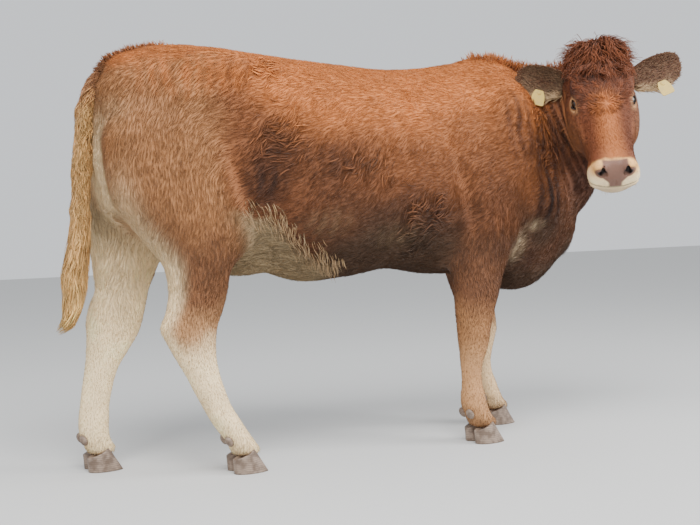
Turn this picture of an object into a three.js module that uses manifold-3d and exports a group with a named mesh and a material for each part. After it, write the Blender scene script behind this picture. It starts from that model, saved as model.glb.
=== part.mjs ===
// A young polled beef cow, life size, standing with one foreleg and one hind leg forward and its head
// turned back over its right shoulder. It is modelled whole, out to the tips of its coat, and parted
// with thin cuts where a person would name its parts.
//
// Millimetres, +Z up. +X is the way the trunk faces and +Y is the cow's left. The origin lies on the
// ground, under the middle of the body.
import * as THREE from "three";
import { mergeVertices } from "three/addons/utils/BufferGeometryUtils.js";
import Module from "manifold-3d";

const wasm = await Module();
wasm.setup();

// ---------------------------------------------------------------- driving dimensions

const ORIGIN = new THREE.Vector3(81, -105, 0); // where the middle of the standing cow lies in the tables
const CUT = 0.4; // width of the thin cuts between named parts
const CLEARANCE = 0.35; // air between a part and the separate piece set into it

const HEAD = {
  at: [820, -299, 1121], // midpoint between the eyes
  yaw: -117, // the way the face points, seen from above, from +X
  pitch: 47, // how far the face points below the level
  roll: 4,
};
const EYE = { radius: 20, apart: 172, ahead: 2, dorsal: 3 };
const EAR = {
  length: 192,
  width: 144, // across the cupped leaf, measured round the cup
  thick: 14,
  cup: 90, // radius of the cup at the root
  lean: 16, // how far the tip leans out of the line
  rootWidth: 0.5, // width at the root, as a share of the widest
  root: [-120, 106, -24], // where the left ear leaves the head
  open: [0.8, 0.1, 0.45], // the way the left ear's cup faces
  tipward: { right: [-0.1, -0.95, 0.36], left: [-0.34, 0.93, 0.12] },
};
const TAG = {
  width: 46,
  height: 46,
  thick: 3,
  corner: 9,
  shoulder: 14, // half width at the top
  neck: 10, // how far the plate rises over its stud
  slope: 12, // how far down the shoulders slope
  stud: 5,
  button: 13,
  along: 96, // how far out along the ear the stud sits
  lift: 4,
  angle: { right: 0.62, left: 0.75 }, // how far round the cup, in radians
};
const CLAW = {
  toe: 66,
  heel: 42,
  top: 74,
  heelTop: 44,
  outer: 29,
  inner: 23,
  lean: 0.62, // slope of the front wall
  heelLean: 0.08,
  toeTaper: 0.28,
  heelTaper: 0.1,
  topTaper: 0.1,
  spread: 31,
};
const DEWCLAW = {
  radius: 15,
  length: 36,
  spread: 24,
  fetlock: 95, // height of the leg's row that it sits behind
  rise: 4,
  back: 0.92,
  turn: -28,
  flat: 0.8,
};
const TAIL_CUTS = { tail_dock: 1090, tail: 715 }; // the height that each length of the tail ends at
const TAIL_GROOVE = 2; // air round the tail where it lies against the rump
const TAIL_BLOCK = { x: -800, size: [600, 300, 1000] }; // a block that holds all of the tail above a cut

const SIDES = { right: -1, left: 1 };
const wordOf = (side) => (side < 0 ? "right" : "left");
const POLE = 1e-9; // keeps a division off zero at a sphere's pole

// ---------------------------------------------------------------- sections of the body
// Each row is one section across the form: where its middle lies, then how far it reaches up, down and
// to each side, then how square its upper and its lower half are (2 is round, more is squarer).

// Trunk: sections across X.  x, z, up, down, half, upper, lower
const TRUNK = [
  [-852, 1040, 150, 190, 95, 2.3, 2.2],
  [-800, 1040, 224, 250, 168, 2.5, 2.2],
  [-700, 1040, 268, 310, 218, 2.7, 2.2],
  [-610, 1040, 281, 345, 240, 2.7, 2.1],
  [-480, 1010, 308, 378, 256, 2.6, 2.1],
  [-340, 960, 344, 355, 280, 2.3, 2.2],
  [-180, 912, 376, 358, 302, 2.1, 2.3],
  [-40, 896, 380, 338, 308, 2.0, 2.3],
  [120, 893, 371, 316, 298, 1.95, 2.3],
  [270, 900, 371, 346, 268, 1.85, 2.2],
  [400, 915, 376, 370, 246, 1.75, 2.2],
  [500, 925, 381, 404, 238, 1.7, 2.1],
  [590, 925, 372, 432, 226, 1.75, 2.0],
  [680, 900, 330, 392, 198, 1.9, 2.0],
  [760, 860, 270, 312, 160, 2, 2],
  [835, 800, 185, 200, 118, 2, 2],
  [886, 745, 110, 100, 78, 2, 2],
];

// Neck: sections across its bent line.  x, y, z, up, down, half, upper, lower
const NECK = [
  [420, 0, 975, 300, 380, 205, 1.8, 2],
  [540, 0, 990, 318, 400, 198, 1.65, 2],
  [650, -6, 1010, 298, 385, 180, 1.6, 1.9],
  [745, -26, 1040, 262, 335, 152, 1.55, 1.9],
  [828, -76, 1078, 218, 266, 126, 1.6, 1.9],
  [878, -150, 1108, 182, 205, 110, 1.8, 2],
  [886, -222, 1130, 150, 160, 98, 2, 2],
];

// Head: sections across the line of the face, in the head's own frame.
// along the face, dorsal, up, down, half, upper, lower
const FACE = [
  [-222, -24, 74, 88, 82, 2.2, 2],
  [-165, -34, 98, 116, 102, 2.3, 2],
  [-100, -48, 116, 138, 110, 2.5, 2],
  [-40, -54, 122, 146, 109, 2.5, 2],
  [10, -54, 117, 142, 103, 2.2, 2],
  [70, -54, 108, 128, 100, 1.8, 2],
  [130, -54, 98, 108, 91, 1.7, 2.1],
  [190, -52, 86, 90, 80, 1.8, 2.2],
  [245, -54, 78, 80, 80, 2.2, 2.3],
  [285, -58, 66, 72, 84, 2.4, 2.3],
  [322, -64, 46, 56, 68, 2.5, 2.3],
];

// Legs: level sections.  height, x, front, back, y, half
const HIND_NEAR = [
  [1130, -690, 150, 150, -150, 88],
  [1000, -680, 190, 168, -152, 110],
  [900, -668, 208, 174, -156, 112],
  [820, -650, 210, 170, -157, 110],
  [760, -620, 190, 157, -155, 103],
  [700, -590, 156, 136, -152, 94],
  [640, -568, 112, 113, -150, 82],
  [560, -565, 97, 97, -147, 66],
  [500, -577, 92, 92, -145, 57],
  [447, -595, 90, 91, -144, 50],
  [400, -590, 78, 76, -144, 47],
  [350, -578, 66, 62, -144, 42],
  [300, -560, 57, 52, -145, 38],
  [250, -541, 53, 47, -146, 37],
  [200, -518, 49, 44, -147, 39],
  [160, -492, 46, 48, -148, 46],
  [125, -470, 45, 47, -149, 48],
  [95, -452, 46, 42, -150, 50],
  [70, -440, 50, 42, -150, 51],
  [44, -432, 46, 38, -150, 44],
];
const HIND_FAR = [
  [1130, -690, 150, 150, 150, 88],
  [1000, -690, 190, 158, 152, 110],
  [900, -695, 200, 153, 156, 112],
  [820, -695, 196, 150, 156, 110],
  [760, -700, 176, 140, 152, 103],
  [700, -705, 148, 130, 148, 94],
  [640, -712, 114, 116, 143, 82],
  [560, -730, 92, 92, 135, 66],
  [510, -745, 92, 96, 130, 58],
  [465, -760, 94, 92, 127, 51],
  [420, -767, 84, 85, 125, 47],
  [370, -785, 70, 70, 123, 42],
  [313, -807, 55, 55, 121, 38],
  [250, -823, 50, 50, 120, 37],
  [195, -832, 48, 49, 120, 39],
  [160, -835, 49, 50, 120, 46],
  [125, -835, 47, 50, 120, 48],
  [95, -831, 47, 46, 120, 50],
  [70, -823, 51, 44, 120, 51],
  [44, -815, 46, 40, 120, 44],
];
const FORE_NEAR = [
  [800, 440, 118, 128, -160, 84],
  [700, 426, 114, 122, -160, 82],
  [620, 412, 104, 108, -152, 75],
  [550, 404, 92, 95, -147, 66],
  [500, 399, 84, 85, -144, 60],
  [444, 392, 72, 74, -142, 54],
  [390, 386, 62, 63, -141, 50],
  [350, 384, 57, 58, -140, 50],
  [310, 380, 51, 50, -140, 45],
  [270, 374, 42, 43, -140, 37],
  [230, 371, 37, 37, -140, 33],
  [190, 372, 38, 38, -140, 35],
  [160, 374, 42, 43, -140, 42],
  [125, 379, 44, 46, -140, 47],
  [95, 390, 44, 46, -140, 49],
  [70, 402, 50, 46, -140, 51],
  [44, 409, 46, 40, -140, 44],
];
const FORE_FAR = [
  [800, 490, 118, 128, 160, 84],
  [700, 505, 112, 120, 160, 82],
  [620, 520, 103, 105, 152, 75],
  [550, 534, 92, 92, 147, 66],
  [500, 543, 85, 84, 144, 60],
  [444, 554, 76, 73, 142, 54],
  [390, 568, 66, 64, 141, 50],
  [345, 575, 61, 59, 140, 50],
  [305, 575, 51, 51, 140, 45],
  [265, 573, 43, 43, 140, 37],
  [227, 572, 38, 38, 140, 33],
  [190, 576, 38, 38, 140, 35],
  [160, 582, 42, 43, 140, 42],
  [125, 592, 44, 46, 140, 47],
  [95, 605, 44, 46, 140, 49],
  [70, 617, 50, 46, 140, 51],
  [44, 624, 46, 40, 140, 44],
];

// Tail: sections across its line.  x, y, z, outward, inward, half
const TAIL = [
  [-690, 0, 1232, 50, 60, 66],
  [-756, 0, 1222, 44, 54, 54],
  [-794, 0, 1205, 41, 46, 47],
  [-825, 0, 1176, 39, 42, 41],
  [-848, 0, 1126, 37, 38, 37],
  [-862, 0, 1056, 35, 35, 33],
  [-871, 0, 965, 33, 33, 31],
  [-880, 0, 850, 31, 31, 29],
  [-886, 0, 745, 34, 34, 32],
  [-896, 0, 670, 42, 42, 38],
  [-906, 0, 610, 43, 43, 40],
  [-908, 0, 560, 39, 39, 36],
  [-914, 0, 510, 30, 31, 28],
  [-930, 0, 468, 21, 22, 20],
  [-962, 0, 440, 8, 8, 8],
];

// Swellings: middle, then half sizes.
const mirrored = (rows) =>
  rows.flatMap(([x, y, z, ...rest]) => [
    [x, -y, z, ...rest],
    [x, y, z, ...rest],
  ]);
const MUSCLES = [
  ...mirrored([
    [-497, 196, 1236, 110, 46, 52], // hook of the hip
    [-782, 110, 1160, 74, 52, 76], // pin of the buttock
    [520, 136, 960, 150, 108, 270], // shoulder blade and its muscle
    [655, 128, 800, 105, 92, 115], // point of the shoulder
    [410, 168, 790, 125, 82, 140], // back of the upper arm
    [-500, 164, 810, 140, 84, 165], // front of the thigh
  ]),
  [640, 0, 610, 130, 105, 118], // brisket
  [-385, 0, 660, 120, 105, 78], // udder
];
const HEAD_MUSCLES = [
  ...mirrored([
    [0, 72, 8, 54, 29, 40], // bony ring round the eye
    [-44, 86, -92, 100, 36, 88], // cheek
    [296, 42, -18, 24, 26, 26], // wing of the nostril
    [-128, 92, -20, 44, 34, 40], // root of the ear
  ]),
  [-50, 0, 38, 84, 98, 34], // brow
  [-200, 6, 36, 52, 98, 70], // poll and its tuft
  [252, 0, -112, 52, 56, 36], // chin
];

// ---------------------------------------------------------------- forms

const X = new THREE.Vector3(1, 0, 0);
const Z = new THREE.Vector3(0, 0, 1);

/** A smooth reading of a table of rows, at any place along it. */
function reader(places, rows) {
  const table = new THREE.CubicInterpolant(places, rows.flat(), rows[0].length);
  return (place) => Array.from(table.evaluate(place));
}

/** Places of the rings along a form: round ends, and even steps between them. */
function ringPlaces(length, rings, caps) {
  const inCap = 3;
  const places = [];
  for (let i = 0; i < inCap; i++) places.push(caps[0] * (1 - Math.cos((i / inCap) * (Math.PI / 2))));
  const middle = rings - 2 * inCap;
  for (let i = 0; i <= middle; i++) {
    places.push(caps[0] + ((length - caps[0] - caps[1]) * i) / middle);
  }
  for (let i = inCap - 1; i >= 0; i--) {
    places.push(length - caps[1] * (1 - Math.cos((i / inCap) * (Math.PI / 2))));
  }
  return places;
}

/** One point of a section: a rounded square whose upper and lower half differ. */
function sectionPoint(angle, [up, down, half, upper, lower]) {
  const c = Math.cos(angle);
  const s = Math.sin(angle);
  const power = 2 / (c >= 0 ? upper : lower);
  const reach = c >= 0 ? up : down;
  return [Math.sign(c) * reach * Math.abs(c) ** power, Math.sign(s) * half * Math.abs(s) ** power];
}

/**
 * A closed form with round ends, laid along its sections: a sphere's grid, each ring of which becomes a
 * section. Sections hold a middle (x, y, z) and a shape. The form's line is straight along `along`, or
 * bends through the middles when `along` is left out.
 */
function limb({ sections, up, along, rings, sides, caps }) {
  const middles = sections.map(({ middle }) => new THREE.Vector3(...middle));
  const places = [0];
  for (let i = 1; i < middles.length; i++) {
    const step = middles[i].clone().sub(middles[i - 1]);
    places.push(places[i - 1] + (along ? step.dot(along) : step.length()));
  }
  const readMiddle = reader(places, middles.map((m) => m.toArray()));
  const readShape = reader(places, sections.map(({ shape }) => shape));
  const length = places.at(-1);
  const geometry = new THREE.SphereGeometry(1, sides, rings);
  const position = geometry.getAttribute("position");
  ringPlaces(length, rings, caps).forEach((place, ring) => {
    const middle = new THREE.Vector3(...readMiddle(place));
    const ahead = new THREE.Vector3(...readMiddle(Math.min(place + 2, length)));
    const behind = new THREE.Vector3(...readMiddle(Math.max(place - 2, 0)));
    const tangent = along ?? ahead.sub(behind).normalize();
    const side = up.clone().cross(tangent).normalize();
    const upward = tangent.clone().cross(side);
    const fromStart = Math.min(place / caps[0], 1);
    const fromEnd = Math.min((length - place) / caps[1], 1);
    const swell = Math.sqrt(1 - (1 - fromStart) ** 2) * Math.sqrt(1 - (1 - fromEnd) ** 2);
    const shape = readShape(place);
    for (let i = 0; i <= sides; i++) {
      const [rise, out] = sectionPoint((2 * Math.PI * i) / sides, shape);
      const point = middle
        .clone()
        .addScaledVector(upward, rise * swell)
        .addScaledVector(side, out * swell);
      position.setXYZ(ring * (sides + 1) + i, ...point);
    }
  });
  return geometry;
}

/** An ellipsoid swelling, from its row. */
function swelling([x, y, z, a, b, c], sides, rings) {
  return new THREE.SphereGeometry(1, sides, rings).rotateX(Math.PI / 2).scale(a, b, c).translate(x, y, z);
}

/** One level-sectioned leg. */
function legForm(rows, grow = 0) {
  return limb({
    sections: rows.map(([height, x, front, back, y, half]) => ({
      middle: [x, y, height],
      shape: [front + grow, back + grow, half + grow, 2.1, 2.1],
    })),
    up: X,
    along: Z.clone().negate(),
    rings: 18,
    sides: 9,
    caps: [120, 20],
  });
}

function trunkForm() {
  return limb({
    sections: TRUNK.map(([x, z, ...shape]) => ({ middle: [x, 0, z], shape })),
    up: Z,
    along: X,
    rings: 17,
    sides: 17,
    caps: [60, 62],
  });
}

function neckForm() {
  return limb({
    sections: NECK.map(([x, y, z, ...shape]) => ({ middle: [x, y, z], shape })),
    up: Z,
    rings: 10,
    sides: 14,
    caps: [60, 50],
  });
}

function faceForm() {
  return limb({
    sections: FACE.map(([x, z, ...shape]) => ({ middle: [x, 0, z], shape })),
    up: Z,
    along: X,
    rings: 14,
    sides: 16,
    caps: [46, 30],
  });
}

/** The tail, or with some extra girth the groove that it lies in. */
function tailForm(extra = 0) {
  return limb({
    sections: TAIL.map(([x, y, z, out, inward, half]) => ({
      middle: [x, y, z],
      shape: [out + extra, inward + extra, half + extra, 2, 2],
    })),
    up: new THREE.Vector3(-1, 0, 0.35),
    rings: 20,
    sides: 8,
    caps: [30, 20],
  });
}

/** The ear, in its own frame: +Z from root to tip, +X across it, and the cup opens to +Y. */
function earForm(grow = 0) {
  const geometry = new THREE.SphereGeometry(1, 10, 9).rotateX(Math.PI / 2);
  const position = geometry.getAttribute("position");
  for (let i = 0; i < position.count; i++) {
    const t = (position.getZ(i) + 1) / 2; // 0 at the root, 1 at the tip
    const ring = Math.sqrt(Math.max(1 - position.getZ(i) ** 2, POLE));
    const across = position.getX(i) / ring;
    const through = position.getY(i) / ring;
    const halfWidth = (EAR.width / 2) * earWidth(t) + grow;
    const bend = cupAt(t);
    const angle = (across * halfWidth) / bend;
    const shell = bend - through * ((EAR.thick / 2) * (0.5 + 0.5 * earWidth(t)) + grow);
    const inward = bend - shell * Math.cos(angle) + EAR.lean * t * t;
    position.setXYZ(i, shell * Math.sin(angle), inward, t * EAR.length + position.getZ(i) * grow);
  }
  return geometry;
}

/** Radius of the ear's cup: it closes towards the tip. */
const cupAt = (t) => EAR.cup * (1 - 0.25 * t);

/** Width of the ear along its length, as a share of the widest. */
function earWidth(t) {
  const root = EAR.rootWidth;
  const rise = Math.min(t / 0.5, 1);
  const body = root + (1 - root) * Math.sin((rise * Math.PI) / 2);
  const tip = t > 0.5 ? Math.sqrt(Math.max(1 - ((t - 0.5) / 0.5) ** 2.2, 0)) : 1;
  const foot = Math.sqrt(1 - Math.max(1 - t / 0.06, 0) ** 2);
  return body * tip * foot;
}

/** A horn claw standing on the ground: `outer` is the side away from the cleft. */
function clawForm(outer, grow = 0) {
  const geometry = new THREE.CylinderGeometry(1, 1, 1, 10, 1).rotateX(Math.PI / 2);
  const position = geometry.getAttribute("position");
  for (let i = 0; i < position.count; i++) {
    const height = position.getZ(i) + 0.5;
    const ahead = position.getX(i);
    const beside = position.getY(i);
    const top = THREE.MathUtils.lerp(CLAW.heelTop, CLAW.top, (1 + ahead) / 2);
    const z = height * top;
    const reach = ahead > 0 ? CLAW.toe - z * CLAW.lean : CLAW.heel + z * CLAW.heelLean;
    const taper = 1 - CLAW.toeTaper * Math.max(ahead, 0) ** 2 - CLAW.heelTaper * Math.max(-ahead, 0) ** 2;
    const width = (beside * outer > 0 ? CLAW.outer : CLAW.inner) * (1 - CLAW.topTaper * height);
    const extra = height > 0.5 ? grow : -grow;
    position.setXYZ(i, ahead * (reach + grow), beside * (width * taper + grow), z + extra);
  }
  return geometry;
}

/** A dewclaw: a blunt little cone that points down and back. */
function dewclawForm(grow = 0) {
  const length = DEWCLAW.length + 2 * grow;
  return new THREE.SphereGeometry(1, 6, 4)
    .rotateX(Math.PI / 2)
    .scale(DEWCLAW.radius * DEWCLAW.flat + grow, DEWCLAW.radius + grow, length / 2)
    .rotateY(THREE.MathUtils.degToRad(DEWCLAW.turn));
}

/** A plain ear tag, in its own frame: a plate that hangs from its stud along -Z, and a round button. */
function tagForms(grow = 0) {
  const w = TAG.width / 2 + grow;
  const r = TAG.corner;
  const bottom = -TAG.height - grow;
  const face = EAR.thick / 2 + 8; // where the plate hangs, clear of the ear's hair
  const shape = new THREE.Shape();
  shape.moveTo(-TAG.shoulder, TAG.neck + grow);
  shape.lineTo(TAG.shoulder, TAG.neck + grow);
  shape.lineTo(w, -TAG.slope);
  shape.lineTo(w, bottom + r);
  shape.quadraticCurveTo(w, bottom, w - r, bottom);
  shape.lineTo(-w + r, bottom);
  shape.quadraticCurveTo(-w, bottom, -w, bottom + r);
  shape.lineTo(-w, -TAG.slope);
  shape.closePath();
  const depth = TAG.thick + 2 * grow;
  const plate = new THREE.ExtrudeGeometry(shape, { depth, bevelEnabled: false, curveSegments: 2 })
    .rotateX(Math.PI / 2)
    .translate(0, face + TAG.thick + grow, 0);
  const stud = new THREE.CylinderGeometry(TAG.stud + grow, TAG.stud + grow, 2 * face - TAG.thick + 3, 6)
    .translate(0, 3.5, 0);
  const button = new THREE.CylinderGeometry(TAG.button + grow, TAG.button + grow, depth, 9)
    .translate(0, -EAR.thick / 2 - 3 - TAG.thick / 2, 0);
  return [plate, stud, button];
}

// ---------------------------------------------------------------- placing

/** The head's own frame, set in the cow's. */
function headFrame() {
  const { at, yaw, pitch, roll } = HEAD;
  const turn = new THREE.Euler(
    THREE.MathUtils.degToRad(roll),
    THREE.MathUtils.degToRad(pitch),
    THREE.MathUtils.degToRad(yaw),
    "ZYX",
  );
  return new THREE.Matrix4().makeRotationFromEuler(turn).setPosition(...at);
}

/** The frame of one ear, in the head's frame. */
function earFrame(side) {
  const [x, y, z] = EAR.root;
  const [openX, openY, openZ] = EAR.open;
  const tipward = new THREE.Vector3(...EAR.tipward[wordOf(side)]).normalize();
  const open = new THREE.Vector3(openX, side * openY, openZ);
  const across = open.clone().cross(tipward).normalize();
  const cup = tipward.clone().cross(across);
  return new THREE.Matrix4().makeBasis(across, cup, tipward).setPosition(x, side * y, z);
}

/** The frame of one tag, in its ear's frame. */
function tagFrame(side) {
  const bend = cupAt(TAG.along / EAR.length);
  const angle = -side * TAG.angle[wordOf(side)];
  const up = new THREE.Vector3(Math.cos(angle), Math.sin(angle), 0).multiplyScalar(side);
  const inward = new THREE.Vector3(-Math.sin(angle), Math.cos(angle), 0);
  const depth = bend * (1 - Math.cos(angle)) + TAG.lift;
  const place = new THREE.Vector3(bend * Math.sin(angle), depth, TAG.along);
  return new THREE.Matrix4().makeBasis(inward.clone().cross(up), inward, up).setPosition(place);
}

// ---------------------------------------------------------------- solids

/** A closed geometry as a manifold-3d solid. */
function solid(geometry, matrix) {
  const bare = geometry.clone();
  bare.deleteAttribute("normal");
  bare.deleteAttribute("uv");
  if (matrix) bare.applyMatrix4(matrix);
  const merged = mergeVertices(bare, 1e-3);
  return new wasm.Manifold(
    new wasm.Mesh({
      numProp: 3,
      vertProperties: merged.getAttribute("position").array,
      triVerts: new Uint32Array(merged.index.array),
    }),
  );
}

const join = (solids) => solids.reduce((whole, next) => whole.add(next));

/** A solid as a mesh's geometry, flat-shaded. */
function geometryOf(body) {
  const { numProp, vertProperties, triVerts } = body.getMesh();
  const points = new Float32Array((vertProperties.length / numProp) * 3);
  for (let i = 0; i < points.length / 3; i++) {
    points.set(vertProperties.subarray(i * numProp, i * numProp + 3), i * 3);
  }
  const geometry = new THREE.BufferGeometry()
    .setAttribute("position", new THREE.BufferAttribute(points, 3))
    .setIndex(new THREE.BufferAttribute(triVerts, 1));
  geometry.computeVertexNormals();
  return geometry;
}

const headInCow = headFrame();

/** Everything set in or on an ear or the face, placed in the cow. */
const inHead = (matrix) => headInCow.clone().multiply(matrix);

function eyeSolid(side, grow = 0) {
  const place = new THREE.Matrix4().setPosition(EYE.ahead, (side * EYE.apart) / 2, EYE.dorsal);
  return solid(new THREE.SphereGeometry(EYE.radius + grow, 9, 6), inHead(place));
}

function tagSolid(side, grow = 0) {
  const place = inHead(earFrame(side)).multiply(tagFrame(side));
  return join(tagForms(grow).map((form) => solid(form, place)));
}

// Feet: the middle of the ground under each, and the rows of its leg.
const LEGS = {
  fore_right: { rows: FORE_NEAR, foot: [404, -140] },
  fore_left: { rows: FORE_FAR, foot: [619, 140] },
  hind_right: { rows: HIND_NEAR, foot: [-438, -150] },
  hind_left: { rows: HIND_FAR, foot: [-821, 120] },
};

function clawPlace([x, y], side) {
  return new THREE.Matrix4().makeTranslation(x, y + side * CLAW.spread, 0);
}

function dewclawPlace(rows, side) {
  const [height, x, , back, y] = rows.find(([at]) => at === DEWCLAW.fetlock);
  const place = [x - back * DEWCLAW.back, y + side * DEWCLAW.spread, height + DEWCLAW.rise];
  return new THREE.Matrix4().makeTranslation(...place);
}

/** The flesh: every form joined, with room for eyes, tags, claws and dewclaws. */
function fleshSolid() {
  const forms = [
    solid(trunkForm()),
    solid(neckForm()),
    solid(faceForm(), headInCow),
    ...MUSCLES.map((row) => solid(swelling(row, 8, 5))),
    ...HEAD_MUSCLES.map((row) => solid(swelling(row, 8, 5), headInCow)),
    ...Object.values(LEGS).map(({ rows }) => solid(legForm(rows))),
  ];
  const room = [solid(tailForm(TAIL_GROOVE))];
  for (const side of Object.values(SIDES)) {
    room.push(eyeSolid(side, CLEARANCE), tagSolid(side, CLEARANCE));
    room.push(solid(earForm(CLEARANCE), inHead(earFrame(side))));
    for (const { rows, foot } of Object.values(LEGS)) {
      room.push(solid(clawForm(side, CLEARANCE), clawPlace(foot, side)));
      room.push(solid(dewclawForm(CLEARANCE), dewclawPlace(rows, side)));
    }
  }
  return room.reduce((flesh, piece) => flesh.subtract(piece), join(forms));
}

// ---------------------------------------------------------------- thin cuts

/** A block to cut with: its middle, its size and its turn, in the frame `within`. */
function block({ at, size, turn = [0, 0, 0], within = new THREE.Matrix4() }, grow = 0) {
  const angles = turn.map(THREE.MathUtils.degToRad);
  const place = new THREE.Matrix4()
    .makeRotationFromEuler(new THREE.Euler(...angles, "ZYX"))
    .setPosition(...at);
  const box = new THREE.BoxGeometry(...size.map((length) => length + 2 * grow));
  return solid(box, within.clone().multiply(place));
}

// Each named part of the flesh: the block it lies in and, for a leg, the rows that bound it sideways.
// The cuts follow this order.
const PARTS = {
  lower_jaw: { block: { at: [250, 0, -157], size: [360, 300, 160], turn: [0, 4, 0], within: headInCow } },
  muzzle: { block: { at: [330, 0, -60], size: [190, 300, 320], within: headInCow } },
  head: { block: { at: [104, 94, 60], size: [640, 444, 620], turn: [0, -30, 0], within: headInCow } },
  cannon_fore_right: { block: { at: [380, -160, 160], size: [300, 300, 380] } },
  cannon_fore_left: { block: { at: [590, 160, 160], size: [300, 300, 380] } },
  cannon_hind_right: { block: { at: [-540, -160, 205], size: [460, 300, 400], turn: [0, -14, 0] } },
  cannon_hind_left: { block: { at: [-820, 160, 200], size: [400, 300, 400], turn: [0, -10, 0] } },
  foreleg_right: {
    rows: FORE_NEAR,
    block: { at: [410, -215, 400], size: [420, 380, 420], turn: [-24, 0, 0] },
  },
  foreleg_left: {
    rows: FORE_FAR,
    block: { at: [545, 215, 400], size: [420, 380, 420], turn: [24, 0, 0] },
  },
  hindleg_right: {
    rows: HIND_NEAR,
    block: { at: [-640, -240, 520], size: [560, 440, 500], turn: [-24, -10, 0] },
  },
  hindleg_left: {
    rows: HIND_FAR,
    block: { at: [-700, 240, 520], size: [560, 440, 500], turn: [24, 0, 0] },
  },
  udder: { block: { at: [-385, 0, 560], size: [300, 200, 150] } },
  neck: { block: { at: [900, 0, 900], size: [640, 800, 1200], turn: [0, -14, 0] } },
};

/** What a named part keeps of the flesh: its block, within its leg's rows where it has them. */
function partRoom({ block: place, rows }, grow = 0) {
  const room = block(place, grow);
  return rows ? room.intersect(solid(legForm(rows, 1 + grow))) : room;
}

/** The largest of a solid's bodies: a thin cut near an edge can leave crumbs. */
function largest(body) {
  return body.decompose().reduce((best, next) => (next.volume() > best.volume() ? next : best));
}

/** Cuts the flesh into its named parts, and leaves the rest joined. */
function partFlesh() {
  const named = {};
  let rest = fleshSolid();
  for (const [name, part] of Object.entries(PARTS)) {
    named[name] = largest(rest.intersect(partRoom(part)));
    rest = rest.subtract(partRoom(part, CUT));
  }
  return { named, rest: largest(rest) };
}

/** Cuts the tail into its named lengths, from the dock down. */
function partTail() {
  const named = {};
  let rest = solid(tailForm());
  for (const [name, low] of Object.entries(TAIL_CUTS)) {
    const above = { at: [TAIL_BLOCK.x, 0, low + TAIL_BLOCK.size[2] / 2], size: TAIL_BLOCK.size };
    named[name] = rest.intersect(block(above));
    rest = rest.subtract(block(above, CUT));
  }
  named.tail_switch = rest;
  return named;
}

/** Eyes, ears, tags, claws and dewclaws. */
function pairedParts() {
  const named = {};
  for (const [word, side] of Object.entries(SIDES)) {
    named[`eye_${word}`] = eyeSolid(side);
    named[`ear_tag_${word}`] = tagSolid(side);
    named[`ear_${word}`] = solid(earForm(), inHead(earFrame(side))).subtract(tagSolid(side, CLEARANCE));
    for (const [leg, { rows, foot }] of Object.entries(LEGS)) {
      const claw = `${leg}_${side * Math.sign(foot[1]) > 0 ? "outer" : "inner"}`;
      named[`claw_${claw}`] = solid(clawForm(side), clawPlace(foot, side));
      named[`dewclaw_${claw}`] = solid(dewclawForm(), dewclawPlace(rows, side));
    }
  }
  return named;
}

// Colour and roughness of each part, by the start of its name: the first that fits is used.
const FINISHES = [
  ["ear_tag", 0xdcd28a, 0.4],
  ["ear", 0x8f6648, 0.85],
  ["eye", 0x17120f, 0.1],
  ["muzzle", 0xc79d8c, 0.55],
  ["lower_jaw", 0xcdaa8a, 0.75],
  ["head", 0xa4623a, 0.8],
  ["neck", 0x9a5631, 0.82],
  ["trunk", 0xa8683a, 0.82],
  ["udder", 0xd9b796, 0.8],
  ["cannon", 0xc8a078, 0.8],
  ["foreleg", 0xb27c4c, 0.8],
  ["hindleg", 0xb07a4a, 0.8],
  ["tail_dock", 0x94522c, 0.85],
  ["tail_switch", 0xd6b886, 0.9],
  ["tail", 0xb98a5c, 0.88],
  ["claw", 0x4b4038, 0.5],
  ["dewclaw", 0x3d3733, 0.55],
];

const cow = new THREE.Group();
cow.name = "cow";
const { named: fleshParts, rest: trunk } = partFlesh();
for (const [name, body] of Object.entries({ trunk, ...fleshParts, ...partTail(), ...pairedParts() })) {
  const [, color, roughness] = FINISHES.find(([start]) => name.startsWith(start));
  const material = new THREE.MeshStandardMaterial({ color, roughness, metalness: 0 });
  const mesh = new THREE.Mesh(geometryOf(body), material);
  mesh.name = name;
  mesh.position.copy(ORIGIN).negate();
  cow.add(mesh);
}
export default cow;
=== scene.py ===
"""A young polled beef cow, life size, dressed over its CAD frame.

One skin stands for all the nodes of flesh, ears and tail. It follows the same sections as the solids,
lies inside them by the coat's depth, and carries the coat as joined, closed tufts. Eyes, claws,
dewclaws and ear tags are pieces of their own. Sections are written in millimetres in the cow's own
tables, and everything built is in metres in the frame.
"""

import logging
import math
from dataclasses import dataclass, field
from enum import Enum, IntEnum
from typing import Any, Callable, Sequence

import bpy
import numpy as np
from mathutils import Matrix, Vector


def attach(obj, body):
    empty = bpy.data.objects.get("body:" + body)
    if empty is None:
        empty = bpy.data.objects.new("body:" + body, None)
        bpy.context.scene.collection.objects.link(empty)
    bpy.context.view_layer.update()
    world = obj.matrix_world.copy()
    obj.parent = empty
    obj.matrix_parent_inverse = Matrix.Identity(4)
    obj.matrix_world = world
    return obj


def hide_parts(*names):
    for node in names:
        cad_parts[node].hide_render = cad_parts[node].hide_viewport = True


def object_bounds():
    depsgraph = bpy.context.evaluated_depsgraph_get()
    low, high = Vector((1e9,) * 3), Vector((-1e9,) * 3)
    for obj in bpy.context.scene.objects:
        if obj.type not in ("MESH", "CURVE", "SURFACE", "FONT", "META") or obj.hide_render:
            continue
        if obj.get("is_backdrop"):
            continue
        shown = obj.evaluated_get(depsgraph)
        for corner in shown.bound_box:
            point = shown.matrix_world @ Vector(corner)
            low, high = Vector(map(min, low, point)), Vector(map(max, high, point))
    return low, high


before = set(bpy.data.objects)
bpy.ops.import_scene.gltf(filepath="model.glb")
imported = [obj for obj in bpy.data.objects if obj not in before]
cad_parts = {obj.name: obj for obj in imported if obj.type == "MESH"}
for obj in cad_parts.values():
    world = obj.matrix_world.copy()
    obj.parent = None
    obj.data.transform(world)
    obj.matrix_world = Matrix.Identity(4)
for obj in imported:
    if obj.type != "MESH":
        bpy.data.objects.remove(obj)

LOG = logging.getLogger("cow")
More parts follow.
